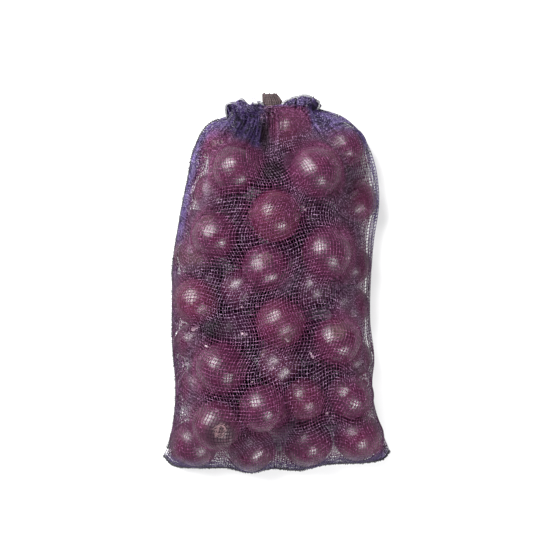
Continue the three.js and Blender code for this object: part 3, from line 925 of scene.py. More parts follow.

# %% Material: violet plastic tape
# Painted backlight: blue violet for the bag's edges, where light comes through the net from behind; drift blends the
# two at random.
TAPE_BACKLIT_BLUE = colour(64, 48, 92)
TAPE_BACKLIT_DEEP = colour(28, 16, 42)
# Painted shade: dark navy for the bunched gather and towards the mouth; drift blends the two at random.
GATHER_LIT = colour(38, 22, 60)
GATHER_DEEP = colour(14, 8, 24)
# Painted see-through light: on an onion the tape takes a wine colour in place of the onion's colour showing through.
TAPE_OPEN = colour(50, 22, 46)
TAPE_ON_ONION = colour(62, 17, 44)
TAPE_BROWN = colour(60, 34, 40)
# Painted shade, for hollows and along the sides and the foot.
TAPE_SHADED = colour(26, 13, 23)
# Painted glints: the pale colour of the glinting tape on an onion, over a gap and at the bag's edges.
PAINTED_GLINT_ON_ONION = colour(158, 98, 140)
PAINTED_GLINT_OPEN = colour(148, 120, 146)
PAINTED_GLINT_AT_EDGE = colour(140, 128, 164)
DRIFT = {"scale": 150.0, "detail": 2.0}  # slow change of colour along the threads
DRIFT_SPREAD = (0.4, 0.62)
PAINTED_GLINT_NOISE = {"scale": 620.0, "detail": 1.0}  # noise of the painted glints, which also sets the roughness
PAINTED_GLINT_SPREAD = (0.49, 0.66)
GLINT = 0.8  # how much of the thread takes the painted glints
EDGE_GLINT = 0.05  # how much more at the bag's edges
GATHER_DULL = 0.65  # how much less in the bunches
SHADE_DULL = 0.45  # and in the shade
CONTACT_DULL = 0.3  # and on an onion


def tape_material(name, strength):
    """Violet plastic tape, drawn opaque, whose colour is painted for the light through it and on it: on an onion it
    takes a wine colour in place of the onion's showing through, over a gap its painted glints are greyer, and at
    the bag's edges it takes a painted backlit blue violet, in place of light that reaches it from behind. Painted
    shade darkens it in hollows, in the bunches and towards the mouth, and it is brown over dried skin."""
    material, tree, shader = new_material(name)
    contact, edge, gathered, browned, shaded = (
        attribute(tree, place) for place in ("contact", "edge", "gathered", "browned", "shaded")
    )
    where = node(tree, "ShaderNodeTexCoord").outputs["Object"]
    drift = ramp(tree, noise(tree, where, **DRIFT), *DRIFT_SPREAD)
    glint_noise = noise(tree, where, **PAINTED_GLINT_NOISE)
    hue = mixed(tree, contact, TAPE_OPEN, TAPE_ON_ONION)
    hue = mixed(tree, edge, hue, mixed(tree, drift, TAPE_BACKLIT_BLUE, TAPE_BACKLIT_DEEP))
    hue = mixed(tree, gathered, hue, mixed(tree, drift, GATHER_LIT, GATHER_DEEP))
    hue = mixed(tree, shaded, mixed(tree, browned, hue, TAPE_BROWN), TAPE_SHADED)
    share = maths(tree, "ADD", times(tree, edge, EDGE_GLINT), strength)
    for place, less in ((gathered, GATHER_DULL), (shaded, SHADE_DULL), (contact, CONTACT_DULL)):
        share = maths(tree, "SUBTRACT", share, times(tree, place, less))
    pale = mixed(tree, edge, mixed(tree, contact, PAINTED_GLINT_OPEN, PAINTED_GLINT_ON_ONION), PAINTED_GLINT_AT_EDGE)
    hue = mixed(tree, times(tree, ramp(tree, glint_noise, *PAINTED_GLINT_SPREAD), share), hue, pale)
    tree.links.new(hue, shader.inputs["Base Color"])
    tree.links.new(ramp(tree, glint_noise, 0.3, 0.7, 0.35, 0.6), shader.inputs["Roughness"])
    shader.inputs["Specular IOR Level"].default_value = 0.12
    return material


tape = tape_material("violet_tape", GLINT)

# %% Lay out the threads
TAPE = (0.58 * MM, 0.25 * MM, 0.25)  # width, thickness and unevenness
FILAMENT = (0.42 * MM, 0.25 * MM, 0.15)
FILAMENT_SWING = 0.17 * MM  # to each side of the pair's middle
FILAMENT_LIFT = 0.3 * MM
SLIP = 0.22  # how far a crossing slips along the net, in meshes
SLIP_WAVES = 7
SLIP_TURN = 0.42  # of the shortest wave, in radians a mesh
CONTACT_FADE = 16 * MM
# Bands along the edges where the net takes its painted backlit blue and its painted shade.
EDGE_FADE = (15 * MM, 11 * MM, 16 * MM, 30 * MM)  # left, right, foot and mouth
FADE_FROM = 0.15  # the share of such a strip where its blue starts to fade
GATHER_BLUE_FROM = 205 * MM  # the mouth's blue starts here, and dips round the top onion
GATHER_MIDDLE = 10 * MM
GATHER_DIP = (34 * MM, 70 * MM)  # half width and height of the dip
HEM_BLUE = (217 * MM, 222 * MM)
SIDE_BLUE = (-10 * MM, 90 * MM, 0.25)  # the sides turn blue from here to here, and how blue they are below
# Where the net is bunched up so thickly that it looks navy, partly from its many layers and partly from painted
# shade of the folds: the middle and the two half widths of each bunch.
BUNCHES = MM * np.array([
    (-36, 197, 25, 24), (-25, 186, 12, 21), (-52.5, 213.5, 6, 8), (-25, 216, 10, 8), (49, 219, 9, 8),
])
# Hollows and a crease where the net lies in the shade, painted as shade, and a darker ring round a root plate, in
# the same form.
SHADE_SPOTS = MM * np.array([(-68, -57, 28, 12), (-14, 181, 7, 24), (-69, -184, 23, 20), (-4, 138, 15, 14)])
SIDE_SHADE = (0.5, 0.4)  # how dark the threads are along the sides, below the blue, and along the foot
# Dried spots of the onions, whose brown is painted on the net that lies on them, in place of the skin showing
# through it.
BROWN_SPOTS = MM * np.array([(76, -56, 17, 12), (-18, 205, 4, 5), (-122, 35, 9, 16), (-104, 30, 14, 8)])
MOUTH_SHADE = (158 * MM, 200 * MM, 0.08)  # from where to where the net darkens towards the mouth, and how much


def slip_field(shape, draw):
    """A smooth random field from about -1 to 1, from a few waves."""
    j, i = np.mgrid[0:shape[0], 0:shape[1]]
    field = np.zeros(shape)
    for _ in range(SLIP_WAVES):
        a, b = draw.uniform(-SLIP_TURN, SLIP_TURN), draw.uniform(-SLIP_TURN, SLIP_TURN)
        phase = draw.uniform(0, 2 * math.pi)
        field += np.sin(a * i + b * j + phase) / 3.0
    return field


def slipped(grid, draw):
    """The same net with its crossings slipped along it, as a handled net's are."""
    out = grid.copy()
    inner = grid[1:-1, 1:-1].shape[:2]
    across = (grid[1:-1, 2:] - grid[1:-1, :-2]) / 2
    along = (grid[2:, 1:-1] - grid[:-2, 1:-1]) / 2
    jitter = [np.array([draw.gauss(0, 0.35) for _ in range(n)]) for n in inner]
    out[1:-1, 1:-1] += across * (SLIP * (slip_field(inner, draw) + jitter[1][None]))[..., None]
    out[1:-1, 1:-1] += along * (SLIP * (slip_field(inner, draw) + jitter[0][:, None]))[..., None]
    return out


def facings(grid, side):
    """Outward directions of the net at every crossing."""
    across = np.gradient(grid, axis=1)
    along = np.gradient(grid, axis=0)
    return unit(side * np.cross(across, along))


def contact_with_onions(points):
    """1 where a point lies on an onion, falling to 0 at CONTACT_FADE above its skin."""
    nearest = np.min([np.linalg.norm(points - row[:3], axis=1) - row[3] for row in onions], axis=0)
    return 1 - smoothstep(nearest, THREAD_CLEAR, CONTACT_FADE)


def near_edge(points):
    """How much painted backlit blue and how much painted shade the net takes near the side folds, the foot and
    the mouth, falling to 0 inside the bag.
    """
    x, y = points[:, 0], points[:, 1]
    left, right, foot = outline_at(x, y)
    dip = np.sqrt(np.clip(1 - np.abs(x - GATHER_MIDDLE) / GATHER_DIP[0], 0, 1))
    gather = GATHER_BLUE_FROM + GATHER_DIP[1] * dip - y
    sides, foot, mouth = (1 - smoothstep(inside, FADE_FROM, 1) for inside in (
        np.minimum((x - left) / EDGE_FADE[0], (right - x) / EDGE_FADE[1]),
        (y - foot) / EDGE_FADE[2], gather / EDGE_FADE[3],
    ))
    mouth = np.maximum(mouth, smoothstep(y, *HEM_BLUE))
    high = smoothstep(y, *SIDE_BLUE[:2])
    blue = np.maximum.reduce([sides * (SIDE_BLUE[2] + (1 - SIDE_BLUE[2]) * high), foot, mouth])
    return blue, np.maximum(sides * (1 - high) * SIDE_SHADE[0], foot * SIDE_SHADE[1])


def in_spots(points, spots):
    """1 in the middle of each of the ovals, falling to 0 outside them."""
    away = [np.hypot((points[:, 0] - x) / rx, (points[:, 1] - y) / ry) for x, y, rx, ry in spots]
    return 1 - smoothstep(np.min(away, axis=0), 0.55, 1.15)


def line_mesh(name, lines, facing):
    """Polylines as one mesh of edges that carries the facing of each point, and how it lies on the onions."""
    vertices = np.vstack(lines)
    edges, start = [], 0
    for line in lines:
        edges += [(start + k, start + k + 1) for k in range(len(line) - 1)]
        start += len(line)
    mesh = new_mesh(name, vertices, edges)
    bunched = in_spots(vertices, BUNCHES)
    low, high, most = MOUTH_SHADE
    blue, shade = near_edge(vertices)
    # What each point carries: edge is the painted backlit blue, also in the bunches; shaded is painted shade; gathered
    # is the painted navy shade of the bunches and towards the mouth; browned is the brown of dried skin.
    for label, values in {
        "facing": np.vstack(facing),
        "contact": contact_with_onions(vertices),
        "edge": np.maximum(blue, bunched),
        "shaded": np.maximum(shade, in_spots(vertices, SHADE_SPOTS)),
        "gathered": np.maximum(bunched, most * smoothstep(vertices[:, 1], low, high)),
        "browned": in_spots(vertices, BROWN_SPOTS),
    }.items():
        set_attribute(mesh, label, values)
    return mesh


def warp_lines(grid, facing, columns, sign):
    """One filament of each column's pair. The two change sides at each row."""
    across = unit(np.gradient(grid, axis=1))
    swap = sign * (1 - 2 * (np.arange(grid.shape[0]) % 2))[:, None]
    lines = [grid[:, i] + across[:, i] * swap * FILAMENT_SWING + facing[:, i] * sign * FILAMENT_LIFT for i in columns]
    return lines, [facing[:, i] for i in columns]


def lay_threads(name, lines, facing, thread, material, slot="net_thread", **more):
    """A thread of that width, thickness and unevenness along each line, all of them as one dressed piece."""
    values = {**dict(zip(("Width", "Thickness", "Unevenness"), thread)), "Material": material, **more}
    dress(run_tree(name, line_mesh(name, lines, facing), flat_thread, values), slot, "filled_net")


def weave(name, grid, side, seed, columns=None, material=tape):
    """The two filaments of the warp and the tapes of the weft as three pieces."""
    grid = slipped(grid, random.Random(seed))
    facing = facings(grid, side)
    for label, sign in (("_warp_over", 1), ("_warp_under", -1)):
        lines, turned = warp_lines(grid, facing, columns or range(grid.shape[1]), sign)
        lay_threads(name + label, lines, turned, FILAMENT, material)
    lay_threads(name + "_weft", list(grid[1:]), list(facing[1:]), TAPE, material)


FOLD_COLUMNS = 6  # near the folds the warp is drawn apart: only every second pair lies there
FRONT_SEED, BACK_SEED = 11, 12
warps = [i for i in range(FINE[0] + 1) if min(i, FINE[0] - i) > FOLD_COLUMNS or i % 2 == 0]
weave("net_front", np.concatenate([front, front_hem]), 1, FRONT_SEED, warps)
weave("net_back", np.concatenate([back, back_hem]), -1, BACK_SEED, warps[1:-1])

# %% [markdown]
# ## Seam allowance
# The bag is sewn inside out and then turned, so a strip of net stays inside along the side and the foot. It is why
# these two edges look denser and bluer than the folded edge on the right; their blue is partly painted backlight,
# painted over a wider band than on the right.
# Folds at the ears, in the shoulders and inside both sides lie there in the same way, as further strips.

# %% Strips of net inside the edges
# The edge that each strip hangs from, the shares of that edge where it starts and ends, and its widths there in
# millimetres.
EDGE_STRIPS = {
    "side_allowance": ("left", 0.08, 0.98, 8, 20),
    "side_turn": ("left", 0.14, 0.90, 4, 12),
    "left_low_fold": ("left", 0.06, 0.28, 22, 12),
    "foot_fold": ("foot", 0.40, 0.64, 30, 30),
    "right_turn": ("right", 0.14, 0.90, 5, 8),
    "foot_allowance": ("foot", 0.01, 0.99, 12, 12),
    "foot_turn": ("foot", 0.01, 0.99, 8, 8),
    "left_ear_fold": ("foot", 0.0, 0.14, 19, 9),
    "left_ear_side": ("left", 0.0, 0.12, 15, 5),
    "right_ear_fold": ("foot", 0.87, 1.0, 9, 18),
    "right_ear_side": ("right", 0.0, 0.10, 13, 5),
    "left_shoulder_fold_a": ("left", 0.60, 1.0, 9, 30),
    "left_shoulder_fold_b": ("left", 0.72, 1.0, 7, 34),
    "left_shoulder_fold_c": ("left", 0.80, 0.97, 16, 30),
    "right_shoulder_fold": ("right", 0.84, 1.0, 2, 26),
    "left_middle_fold": ("left", 0.48, 0.66, 15, 15),
}
STRIP_PITCH = 2.6 * MM
ALLOWANCE_WAVE = 2.2 * MM
ALLOWANCE_RISE = 9 * MM  # its free edge lies higher, on the onions
STRIP_SEED = 31


def allowance(line, widths, count, turn, draw):
    """A strip of net that starts at the line and lies inside the bag, to the left or right of its run."""
    along = np.gradient(line, axis=0)
    inward = unit(np.column_stack([-along[:, 1], along[:, 0], np.zeros(len(line))]) * turn)
    share = np.linspace(0, 1, len(line))[:, None]
    width = widths[0] + (widths[1] - widths[0]) * smoothstep(share, 0.4, 1.0)
    reach = steps(count)[None, :, None]
    k = np.arange(len(line))[:, None]
    wave = np.sin(0.55 * k + draw.uniform(0, 6)) + 0.8 * np.sin(0.23 * k + draw.uniform(0, 6))
    strip = line[:, None] + inward[:, None] * (width * (1 + 0.18 * wave))[:, None] * reach
    strip[..., 2] += (ALLOWANCE_RISE + ALLOWANCE_WAVE * wave) * reach[..., 0]
    strip[..., 2] = np.maximum(strip[..., 2], THREAD_CLEAR)
    clear_of_onions(strip, THREAD_CLEAR)
    return strip


# Each edge runs one way, so the bag lies to the left of the foot and of the right fold, and to the right of the left.
EDGES = {"foot": (front[0], 1), "left": (front[:, 0], -1), "right": (front[:, -1], 1)}
draw = random.Random(21)
for name, (edge, *part, wide_low, wide_high) in EDGE_STRIPS.items():
    line, turn = EDGES[edge]
    first, last = (round(share * (len(line) - 1)) for share in part)
    widths = (wide_low * MM, wide_high * MM)
    strip = allowance(line[first:last + 1], widths, round(max(widths) / STRIP_PITCH), turn, draw)
    weave(name, strip, 1, STRIP_SEED)

# %% [markdown]
# ## Folds in the gather
# Where the net is gathered, the spare width lies in several layers behind the front one. Each layer is the front
# layer's own grid, moved inwards and sideways, so that it follows the same folds without running along with them.

# %% Inner layers of the gather
# Shares of the width between which each layer lies, its rows, and in millimetres how far it is moved inwards, to the
# right and up.
GATHER_LAYERS = (
    (0.09, 0.52, 20, 2.4, 1.2, 0.5), (0.15, 0.52, 16, 4.6, -1.5, 1.0), (0.22, 0.54, 11, 6.5, 0.8, -0.7),
    (0.76, 0.96, 13, 2.4, -1.0, 0.6), (0.78, 0.94, 10, 4.6, 1.0, 0.0),
)
LAYER_DROP = 0.7 * MM  # the inner layers end a little below the front one
LAYER_SEED = 41
for number, (first, last, rows, inward, right, up) in enumerate(GATHER_LAYERS):
    columns = slice(round(first * FINE[0]), round(last * FINE[0]))
    block = np.concatenate([front[-rows:], front_hem[:HEM_ROWS]])[:, columns].copy()
    block -= facings(block, 1) * (inward * MM)
    block[..., 0] += right * MM
    block[..., 1] += up * MM - LAYER_DROP
    weave(f"gather_layer_{number}", block, 1, LAYER_SEED + number)

# %% [markdown]
# ## Ruffles of the hem
# The top of the gather is a ruffle: the hem's firm woven edge turns this way and that, so it shows as pale rims round
# dark hollows. No grid that is merely gathered does that. Each ruffle is given one by one instead, as a strip of net
# between two lines in space: the rim, where the selvedge runs, and the line where the strip enters the bunch.

# %% Ruffles: rim and inner line of each, in millimetres
RUFFLES = {
    "ruffle_left_loop": (
        [(-61.9, 207.5, 42), (-63.8, 213.7, 45), (-63.2, 220, 47), (-59.4, 223.1, 49), (-54.4, 223.7, 50),
         (-49.4, 221.9, 50), (-47.5, 217.5, 49), (-48.8, 212.5, 48)],
        [(-59.4, 206.2, 40), (-59, 211, 38), (-57.8, 214.6, 36), (-56, 216.6, 35), (-53.8, 216.8, 35),
         (-52, 215.6, 36), (-51, 213.2, 37), (-51, 210, 40)],
    ),
    "ruffle_tongue": (
        [(-48, 217, 42), (-48.2, 224.4, 43), (-46.3, 227.5, 45), (-43.2, 228.4, 46), (-40, 226.2, 46),
         (-36.9, 221.9, 45), (-33.2, 216.9, 44), (-31.9, 213.7, 43)],
        [(-46, 210, 50), (-45, 216, 52), (-44, 219.5, 53), (-42.4, 220.4, 54), (-41, 219, 54),
         (-39, 215.4, 54), (-37.4, 211.4, 53), (-36.4, 208, 52)],
    ),
    "ruffle_ragged": (
        [(-31.9, 216.2, 42), (-32.2, 221.2, 43), (-29.4, 223.1, 45), (-25.7, 222.3, 46), (-23.2, 224.4, 46),
         (-19.4, 223.7, 46), (-16.9, 221.2, 46), (-16.9, 216.2, 45)],
        [(-29.4, 212.5, 38), (-29.4, 216, 36), (-27.5, 217.4, 35), (-25, 217.2, 35), (-22.5, 218, 35),
         (-20.7, 217.2, 36), (-19.4, 216, 37), (-19.4, 212.5, 39)],
    ),
    "ruffle_right_small": (
        [(7.5, 221.5, 48), (12, 226.2, 49), (16.8, 228.4, 50), (20.6, 230.4, 50), (24.3, 231.3, 50), (27.4, 229, 50)],
        [(10, 214, 47), (13.3, 216.5, 44), (16.3, 217.5, 43), (19.3, 218, 43), (22.3, 217.6, 44), (25.3, 215, 46)],
    ),
    "ruffle_right_mound": (
        [(25.6, 226, 46), (28.1, 231, 46), (33.1, 233, 46), (38.1, 233, 46), (43.1, 230.6, 46), (48.1, 227.5, 44),
         (53.1, 224.6, 42), (51.6, 218.7, 41), (49.3, 215.6, 40)],
        [(28, 217, 52), (30.6, 223, 53), (34.3, 225, 54), (38.1, 225, 54), (41.8, 223, 53), (45, 221, 51),
         (47, 219.5, 48), (47, 217, 46), (45.6, 214.5, 46)],
    ),
}
RUFFLE_PITCH = 1.3 * MM  # the gathered threads stand closer than the net's own
RUFFLE_ROWS = 7
RUFFLE_LAYERS = 3
RUFFLE_LAYER_GAP = 1.3 * MM
RUFFLE_CRUMPLE = 0.6 * MM
SELVEDGE = (2.9 * MM, 0.7 * MM, 0.2)
SELVEDGE_LIFT = 1.0 * MM
RUFFLE_SEED = 71
selvedge = speckled_material(
    "woven_selvedge", (66, 62, 72), (120, 120, 122), scale=520.0, spread=(0.36, 0.6), roughness=0.55
)


def ruffle_grid(rim, inner, draw):
    """A crumpled strip of net from its inner line up to its rim."""
    count = round(run_along(rim)[-1] / RUFFLE_PITCH)
    outer, root = smooth_line(rim, count), smooth_line(inner, count)
    share = steps(RUFFLE_ROWS)[:, None, None]
    grid = root * (1 - share) + outer * share
    crumple = [slip_field(grid.shape[:2], draw) for _ in range(3)]
    return grid + RUFFLE_CRUMPLE * np.stack(crumple, axis=-1)


draw = random.Random(61)
rims = []
for name, (rim, inner) in RUFFLES.items():
    for layer in range(RUFFLE_LAYERS):
        grid = ruffle_grid(MM * np.array(rim), MM * np.array(inner), draw) - (0, 0, layer * RUFFLE_LAYER_GAP)
        weave(f"{name}_{layer}", grid, -1, RUFFLE_SEED + layer)
        if layer == 0:
            rims.append(grid[-1] + (0, 0, SELVEDGE_LIFT))
rim_facing = [np.tile((0, 0.35, 1), (len(rim), 1)) for rim in rims]
lay_threads("hem_selvedge", rims, rim_facing, SELVEDGE, selvedge)

# %% [markdown]
# ## Sewn seams
# Both seams are overlocked: a dark thread loops round the two edges of net at every stitch and holds them in a firm
# bead. The stitches are the same loop again and again along a path, so geometry nodes place one loop at each step of
# the path, tilt and scale it a little at random, and join them to the bead.

# %% Geometry nodes: an overlocked seam
# Radius of the bead, of the loops round it and of their thread, and the length of a stitch, in millimetres.
SEAM_SIZES = {"foot_seam": (1.2, 1.8, 0.42, 2.1), "side_seam": (0.8, 1.7, 0.42, 2.6)}
SEAM_SOCKETS = ("Bead Radius", "Loop Radius", "Thread Radius", "Stitch Length")
SEAM_SEED = 5
LOOP_TILT = 0.45  # at most, in radians
LOOP_SIZES = (0.82, 1.2)


def seam_tree():
    tree, given, out = new_group("Overlocked Seam", "GeometryNodeTree", {
        "Geometry": "Geometry", "Bead Radius": 0.001, "Loop Radius": 0.0019, "Thread Radius": 0.0003,
        "Stitch Length": 0.003, "Seed": SEAM_SEED, "Material": "Material",
    }, {"Geometry": "Geometry"})
    line = geo(tree, "MeshToCurve", {"Mesh": given["Geometry"]})
    rope, ring, thin = (
        geo(tree, "CurvePrimitiveCircle", {"Resolution": sides, "Radius": given[socket]})
        for sides, socket in zip((8, 12, 5), SEAM_SOCKETS)
    )
    bead = geo(tree, "CurveToMesh", {"Curve": line, "Profile Curve": rope, "Fill Caps": True})
    loop = geo(tree, "CurveToMesh", {"Curve": ring, "Profile Curve": thin})
    places = node(
        tree, "GeometryNodeCurveToPoints", {"Curve": line, "Length": given["Stitch Length"]}, mode="LENGTH"
    ).outputs
    limit = Vector((LOOP_TILT, LOOP_TILT, 0.0))
    tilt = node(
        tree, "FunctionNodeRandomValue", {0: -limit, 1: limit, "Seed": given["Seed"]}, data_type="FLOAT_VECTOR"
    ).outputs[0]
    turned = node(
        tree, "FunctionNodeRotateRotation", {"Rotation": places["Rotation"], "Rotate By": tilt}, rotation_space="LOCAL"
    ).outputs[0]
    size = node(
        tree, "FunctionNodeRandomValue", {2: LOOP_SIZES[0], 3: LOOP_SIZES[1], "Seed": given["Seed"]}, data_type="FLOAT"
    ).outputs[1]
    loops = geo(
        tree, "InstanceOnPoints", {"Points": places["Points"], "Instance": loop, "Rotation": turned, "Scale": size}
    )
    joined = geo(tree, "JoinGeometry", {"Geometry": bead})
    tree.links.new(loops, joined.node.inputs[0])
    return end_tree(tree, joined, given, out)


overlocked_seam = seam_tree()

# %% Sew the side and the foot
SIDE_SEAM_ENDS = 3  # rows that the side seam leaves free at each end
sewing_thread = speckled_material(
    "sewing_thread", (13, 10, 18), (44, 40, 52), scale=420.0, spread=(0.4, 0.68), roughness=0.6
)
for name, line in (("foot_seam", front[0]), ("side_seam", front[SIDE_SEAM_ENDS:-SIDE_SEAM_ENDS, 0])):
    path = new_mesh(name, line, [(k, k + 1) for k in range(len(line) - 1)])
    sizes = {socket: size * MM for socket, size in zip(SEAM_SOCKETS, SEAM_SIZES[name])}
    values = {**sizes, "Seed": SEAM_SEED, "Material": sewing_thread}
    dress(run_tree(name + "_stitches", path, overlocked_seam, values), "seam_thread", name)

# %% [markdown]
# ## The dry neck in the mouth
# The topmost onion lies with its neck in the mouth of the bag. The neck is a flat bundle of dead leaf bases, ragged
# at the end, with fibres along it. It is turned like the onions, but round a leaning line, and flattened.

# %% Material: dead leaf with fibres
LEAF = colour(44, 26, 30)
LEAF_DARK = colour(24, 12, 16)
LEAF_PALE = colour(68, 48, 50)


def leaf_material():
    material, tree, shader = new_material("dead_leaf", roughness=0.75)
    direction = attribute(tree, "onion_direction", "Vector")
    fibres = use_group(tree, veins, {"Direction": direction, "Count": 12.0, "Seed": 3.0})
    hue = mixed(tree, fibres["Veins"], LEAF, LEAF_DARK)
    hue = mixed(tree, times(tree, fibres["Mottle"], 0.5), hue, LEAF_PALE)
    tree.links.new(hue, shader.inputs["Base Color"])
    bump = node(tree, "ShaderNodeBump", {"Height": fibres["Veins"], "Strength": 0.8, "Distance": 0.6 * MM})
    tree.links.new(bump.outputs[0], shader.inputs["Normal"])
    return material


leaf = leaf_material()

# %% Neck
NECK_FOOT = Vector((-0.0040, 0.2145, 0.036))
NECK_LENGTH = 21 * MM
NECK_RADII = (13.4 * MM, 8.4 * MM)
NECK_FLATNESS = 0.62
NECK_HOLLOW = 1.5 * MM
NECK_AROUND = 72
NECK_ALONG = 12


def neck_axis(v):
    """How far left the middle of the stub lies and its radius: its left side is straight and its right side slopes."""
    narrowed = (NECK_RADII[0] - NECK_RADII[1]) * v ** 2
    return narrowed, NECK_RADII[0] - narrowed


def neck_mesh():
    """A flattened, ribbed stub that leans left, with a ragged hollow end."""
    run = steps(NECK_ALONG)
    turn = np.linspace(0, 2 * math.pi, NECK_AROUND, endpoint=False)
    v, t = np.meshgrid(run, turn, indexing="ij")
    rib = 1 + 0.06 * np.sin(7 * t + 1.2 * v) + 0.03 * np.sin(17 * t - 2 * v) + 0.02 * np.sin(31 * t + 3 * v)
    left, radius = neck_axis(v)
    radius = radius * rib
    ragged = v ** 3 * MM * (0.8 * np.sin(3 * t) + 0.6 * np.sin(8 * t + 1) + 0.5 * np.sin(19 * t))
    x = radius * np.cos(t) - left
    y = NECK_LENGTH * v + ragged
    z = radius * NECK_FLATNESS * np.sin(t)
    outer = np.stack([x, y, z], axis=-1).reshape(-1, 3)
    tip = outer[-NECK_AROUND:]
    middle = tip.mean(axis=0)
    inner = middle + (tip - middle) * 0.78 - (0, NECK_HOLLOW, 0)
    vertices = np.vstack([outer, inner, [middle - (0, NECK_HOLLOW, 0)], [outer[:NECK_AROUND].mean(axis=0)]])
    rings = NECK_ALONG + 2
    last = rings * NECK_AROUND
    faces = turned_faces(rings, NECK_AROUND, 0, (last + 1, last))
    mesh = new_mesh("dry_neck_leaves", vertices + np.array(NECK_FOOT), (), faces)
    around = np.concatenate([t.ravel(), turn, [0, 0]])
    along = np.concatenate([v.ravel(), np.ones(NECK_AROUND), [1, 0]])
    direction = np.column_stack([np.cos(around), np.sin(around), 0.3 * along])
    set_attribute(mesh, "onion_direction", direction)
    return mesh


dress(add_object(neck_mesh(), leaf), "dry_onion_skin", "dry_neck")

# %% [markdown]
# The net's hem covers the stub as well, and shows on it as a pattern of pale dots, which are painted glints. This
# patch of net is bent round the stub's upper half.

# %% Net over the neck
NECK_NET_SHAPE = (8, 12)  # threads along the stub and round it
NECK_NET_CLEAR = 1.2 * MM
NECK_NET_SEED = 81
# Its pale speckles are painted glints on the dark tape.
neck_tape_glints = speckled_material(
    "neck_tape_glints", (32, 17, 22), (84, 61, 65), scale=620.0, spread=(0.42, 0.62), roughness=0.5, detail=1.0
)
along = np.linspace(0, 0.97, NECK_NET_SHAPE[0])
across = np.linspace(0.86 * math.pi, 0.14 * math.pi, NECK_NET_SHAPE[1])
v, t = np.meshgrid(along, across, indexing="ij")
left, radius = neck_axis(v)
neck_net = np.array(NECK_FOOT) + np.stack([
    (radius + NECK_NET_CLEAR) * np.cos(t) - left,
    NECK_LENGTH * v,
    (radius * NECK_FLATNESS + NECK_NET_CLEAR) * np.sin(t),
], axis=-1)
weave("net_over_neck", neck_net, 1, NECK_NET_SEED, material=neck_tape_glints)

# %% [markdown]
# ## Roots, loose skin and stray threads
# Handled onions shed: dry flakes of skin lie between the onions and the net, and dead roots curl on the root plates.
# Each root is a short line that starts on the plate and bends over the skin, given a width by the thread tree. A flake
# is a thin, curled leaf, closed all round.

# %% Dead roots, on the onions whose root plates show
root_hair, tree, shader = new_material("root_hair", roughness=0.7)
shader.inputs["Base Color"].default_value = colour(104, 76, 82)
ROOT_STEPS = 7
ROOT = (0.5 * MM, 0.3 * MM, 0.4)
ROOT_PATCH = 3 * MM  # over which a root's width changes
# Number in the heap, how many roots, how far they reach as a share of the radius.
ROOT_TUFTS = ((31, 44, 0.40), (25, 28, 0.30))
ROOT_RISE = 1.0 * MM  # they poke through the net


def over_onion(skin_tree, number, axis, out, turn, lift):
    """A point above an onion's skin, at a distance from its axis as a share of the radius, and its facing."""
    x, y, z, radius = map(float, onions[number])
    side = axis.orthogonal().normalized()
    side = side * math.cos(turn) + axis.cross(side) * math.sin(turn)
    above = Vector((x, y, z)) + radius * (side * out + axis * 2)
    hit, normal, _, _ = skin_tree.ray_cast(above, -axis)
    return hit + normal * lift, normal


def root_tuft(number, count, reach, draw):
    piece, axis = placed[number]
    end = -axis if axis.z < 0 else axis
    skin_tree = BVHTree.FromPolygons([v.co for v in piece.data.vertices], [p.vertices[:] for p in piece.data.polygons])
    lines, facing = [], []
    for _ in range(count):
        turn, bend = draw.uniform(0, 2 * math.pi), draw.uniform(-2.4, 2.4)
        start, length = reach * draw.uniform(0.02, 0.6), reach * draw.uniform(-0.2, 0.4)
        shares = [k / ROOT_STEPS for k in range(ROOT_STEPS + 1)]
        points = [over_onion(skin_tree, number, end, start + length * share, turn + bend * share,
                             ROOT[1] + ROOT_RISE * math.sin(math.pi * min(share, 0.7))) for share in shares]
        lines.append(np.array([p for p, _ in points]))
        facing.append(np.array([n for _, n in points]))
    return lines, facing


draw = random.Random(91)
lines, facing = [], []
for number, count, reach in ROOT_TUFTS:
    tuft = root_tuft(number, count, reach, draw)
    lines += tuft[0]
    facing += tuft[1]
lay_threads("dead_roots", lines, facing, ROOT, root_hair, "dry_onion_skin", **{"Patch Size": ROOT_PATCH})

# %% Flakes of dry skin under the net: x, y, length, width in millimetres and the way they point in degrees
FLAKES = (
    (-100, -55, 11, 5.0, 35), (-83, -78, 11, 2.2, -28), (-40, -62, 9, 3.5, -20), (-6, -103, 9, 4.0, 60),
    (43, -88, 10, 3.0, -60), (-73, -155, 7, 3.0, 20), (33, 91, 8, 3.0, -50), (-106, -120, 8, 3.0, 80),
    (-42, -29, 4, 2.0, 0), (-30, -120, 4, 2.0, 30), (12, -68, 8, 2.6, -60), (-92, 60, 9, 2.2, 70),
    (86, 30, 6, 2.4, 10), (-20, 60, 5, 2.0, 50), (62, -160, 6, 2.5, 15), (-10, -212, 6, 2.4, 60),
)
flake_skin = speckled_material(
    "loose_flake", (84, 58, 72), (132, 110, 120), scale=260.0, spread=(0.38, 0.62), roughness=0.45
)
FLAKE_SHAPE = (12, 6)  # faces along a flake and across it
FLAKE_CURL = 0.35  # rise of the ends, as a share of the length
FLAKE_THICKNESS = 0.25 * MM
FLAKE_DEPTH = 1.1 * MM  # below the net


def net_height(x, y):
    away = np.hypot(front[..., 0] - x, front[..., 1] - y)
    return float(front[..., 2].ravel()[away.argmin()])


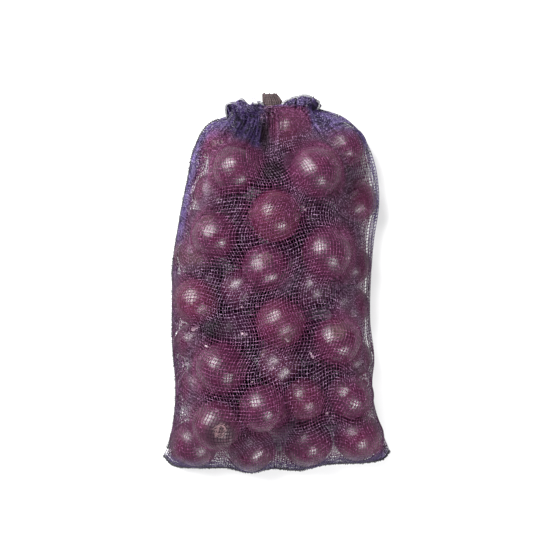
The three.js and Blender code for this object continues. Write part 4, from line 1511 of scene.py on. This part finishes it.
def flake(x, y, length, width, turn, draw):
    """Vertices of one curled leaf, upper and lower side."""
    count, across = FLAKE_SHAPE
    s, t = np.meshgrid(np.linspace(-1, 1, count + 1), np.linspace(-1, 1, across + 1), indexing="ij")
    half = width / 2 * (1 - s ** 2) ** 0.5 * (1 + 0.25 * np.sin(5 * s + draw.uniform(0, 6)))
    sheet = np.stack([length / 2 * s, half * t, -FLAKE_CURL * length * 0.5 * s ** 2 + 0.3 * half * t ** 2], axis=-1)
    c, n = math.cos(math.radians(turn)), math.sin(math.radians(turn))
    sheet = sheet @ np.array([(c, n, 0), (-n, c, 0), (0, 0, 1)]) + (x, y, net_height(x, y) - FLAKE_DEPTH)
    thick = FLAKE_THICKNESS * ((1 - s ** 2) * (1 - t ** 2))[..., None] * (0, 0, 1)
    return np.concatenate([(sheet + thick).reshape(-1, 3), (sheet - thick).reshape(-1, 3)])


def flake_faces():
    count, across = FLAKE_SHAPE
    row, layer = across + 1, (count + 1) * (across + 1)
    faces = []
    for k in range(count):
        for m in range(across):
            a = k * row + m
            top = (a, a + row, a + row + 1, a + 1)
            faces += [top, tuple(layer + v for v in reversed(top))]
    rim = list(range(across)) + [k * row + across for k in range(count)]
    rim += [count * row + m for m in range(across, 0, -1)] + [k * row for k in range(count, 0, -1)]
    return faces + [(a, b, layer + b, layer + a) for a, b in zip(rim, rim[1:] + rim[:1])]


vertices, faces = [], []
for x, y, length, width, turn in FLAKES:
    start = len(vertices) * 2 * (FLAKE_SHAPE[0] + 1) * (FLAKE_SHAPE[1] + 1)
    vertices.append(flake(x * MM, y * MM, length * MM, width * MM, turn, draw))
    faces += [tuple(start + v for v in face) for face in flake_faces()]
flakes = add_object(new_mesh("skin_flakes", np.vstack(vertices), (), faces), flake_skin)
dress(flakes, "dry_onion_skin", "filled_net")

# %% Stray threads at the hem and at the left edge, in millimetres
STRAYS = (
    [(-29, 222, 46), (-30.5, 226, 47), (-29, 229.5, 48), (-26, 228, 48), (-23, 225, 47), (-19, 226.5, 46)],
    [(46.5, 227, 46), (46, 231, 47), (44, 236, 48)],
    [(-126, 19, 26), (-130, 22, 26), (-133, 20, 27)],
)
STRAY = (0.8 * MM, 0.8 * MM, 0.2)
STRAY_STEPS = 16
UP = (0, 0, 1)
lines = [smooth_line(MM * np.array(line), STRAY_STEPS) for line in STRAYS]
lay_threads("stray_threads", lines, [np.tile(UP, (len(line), 1)) for line in lines], STRAY, tape)
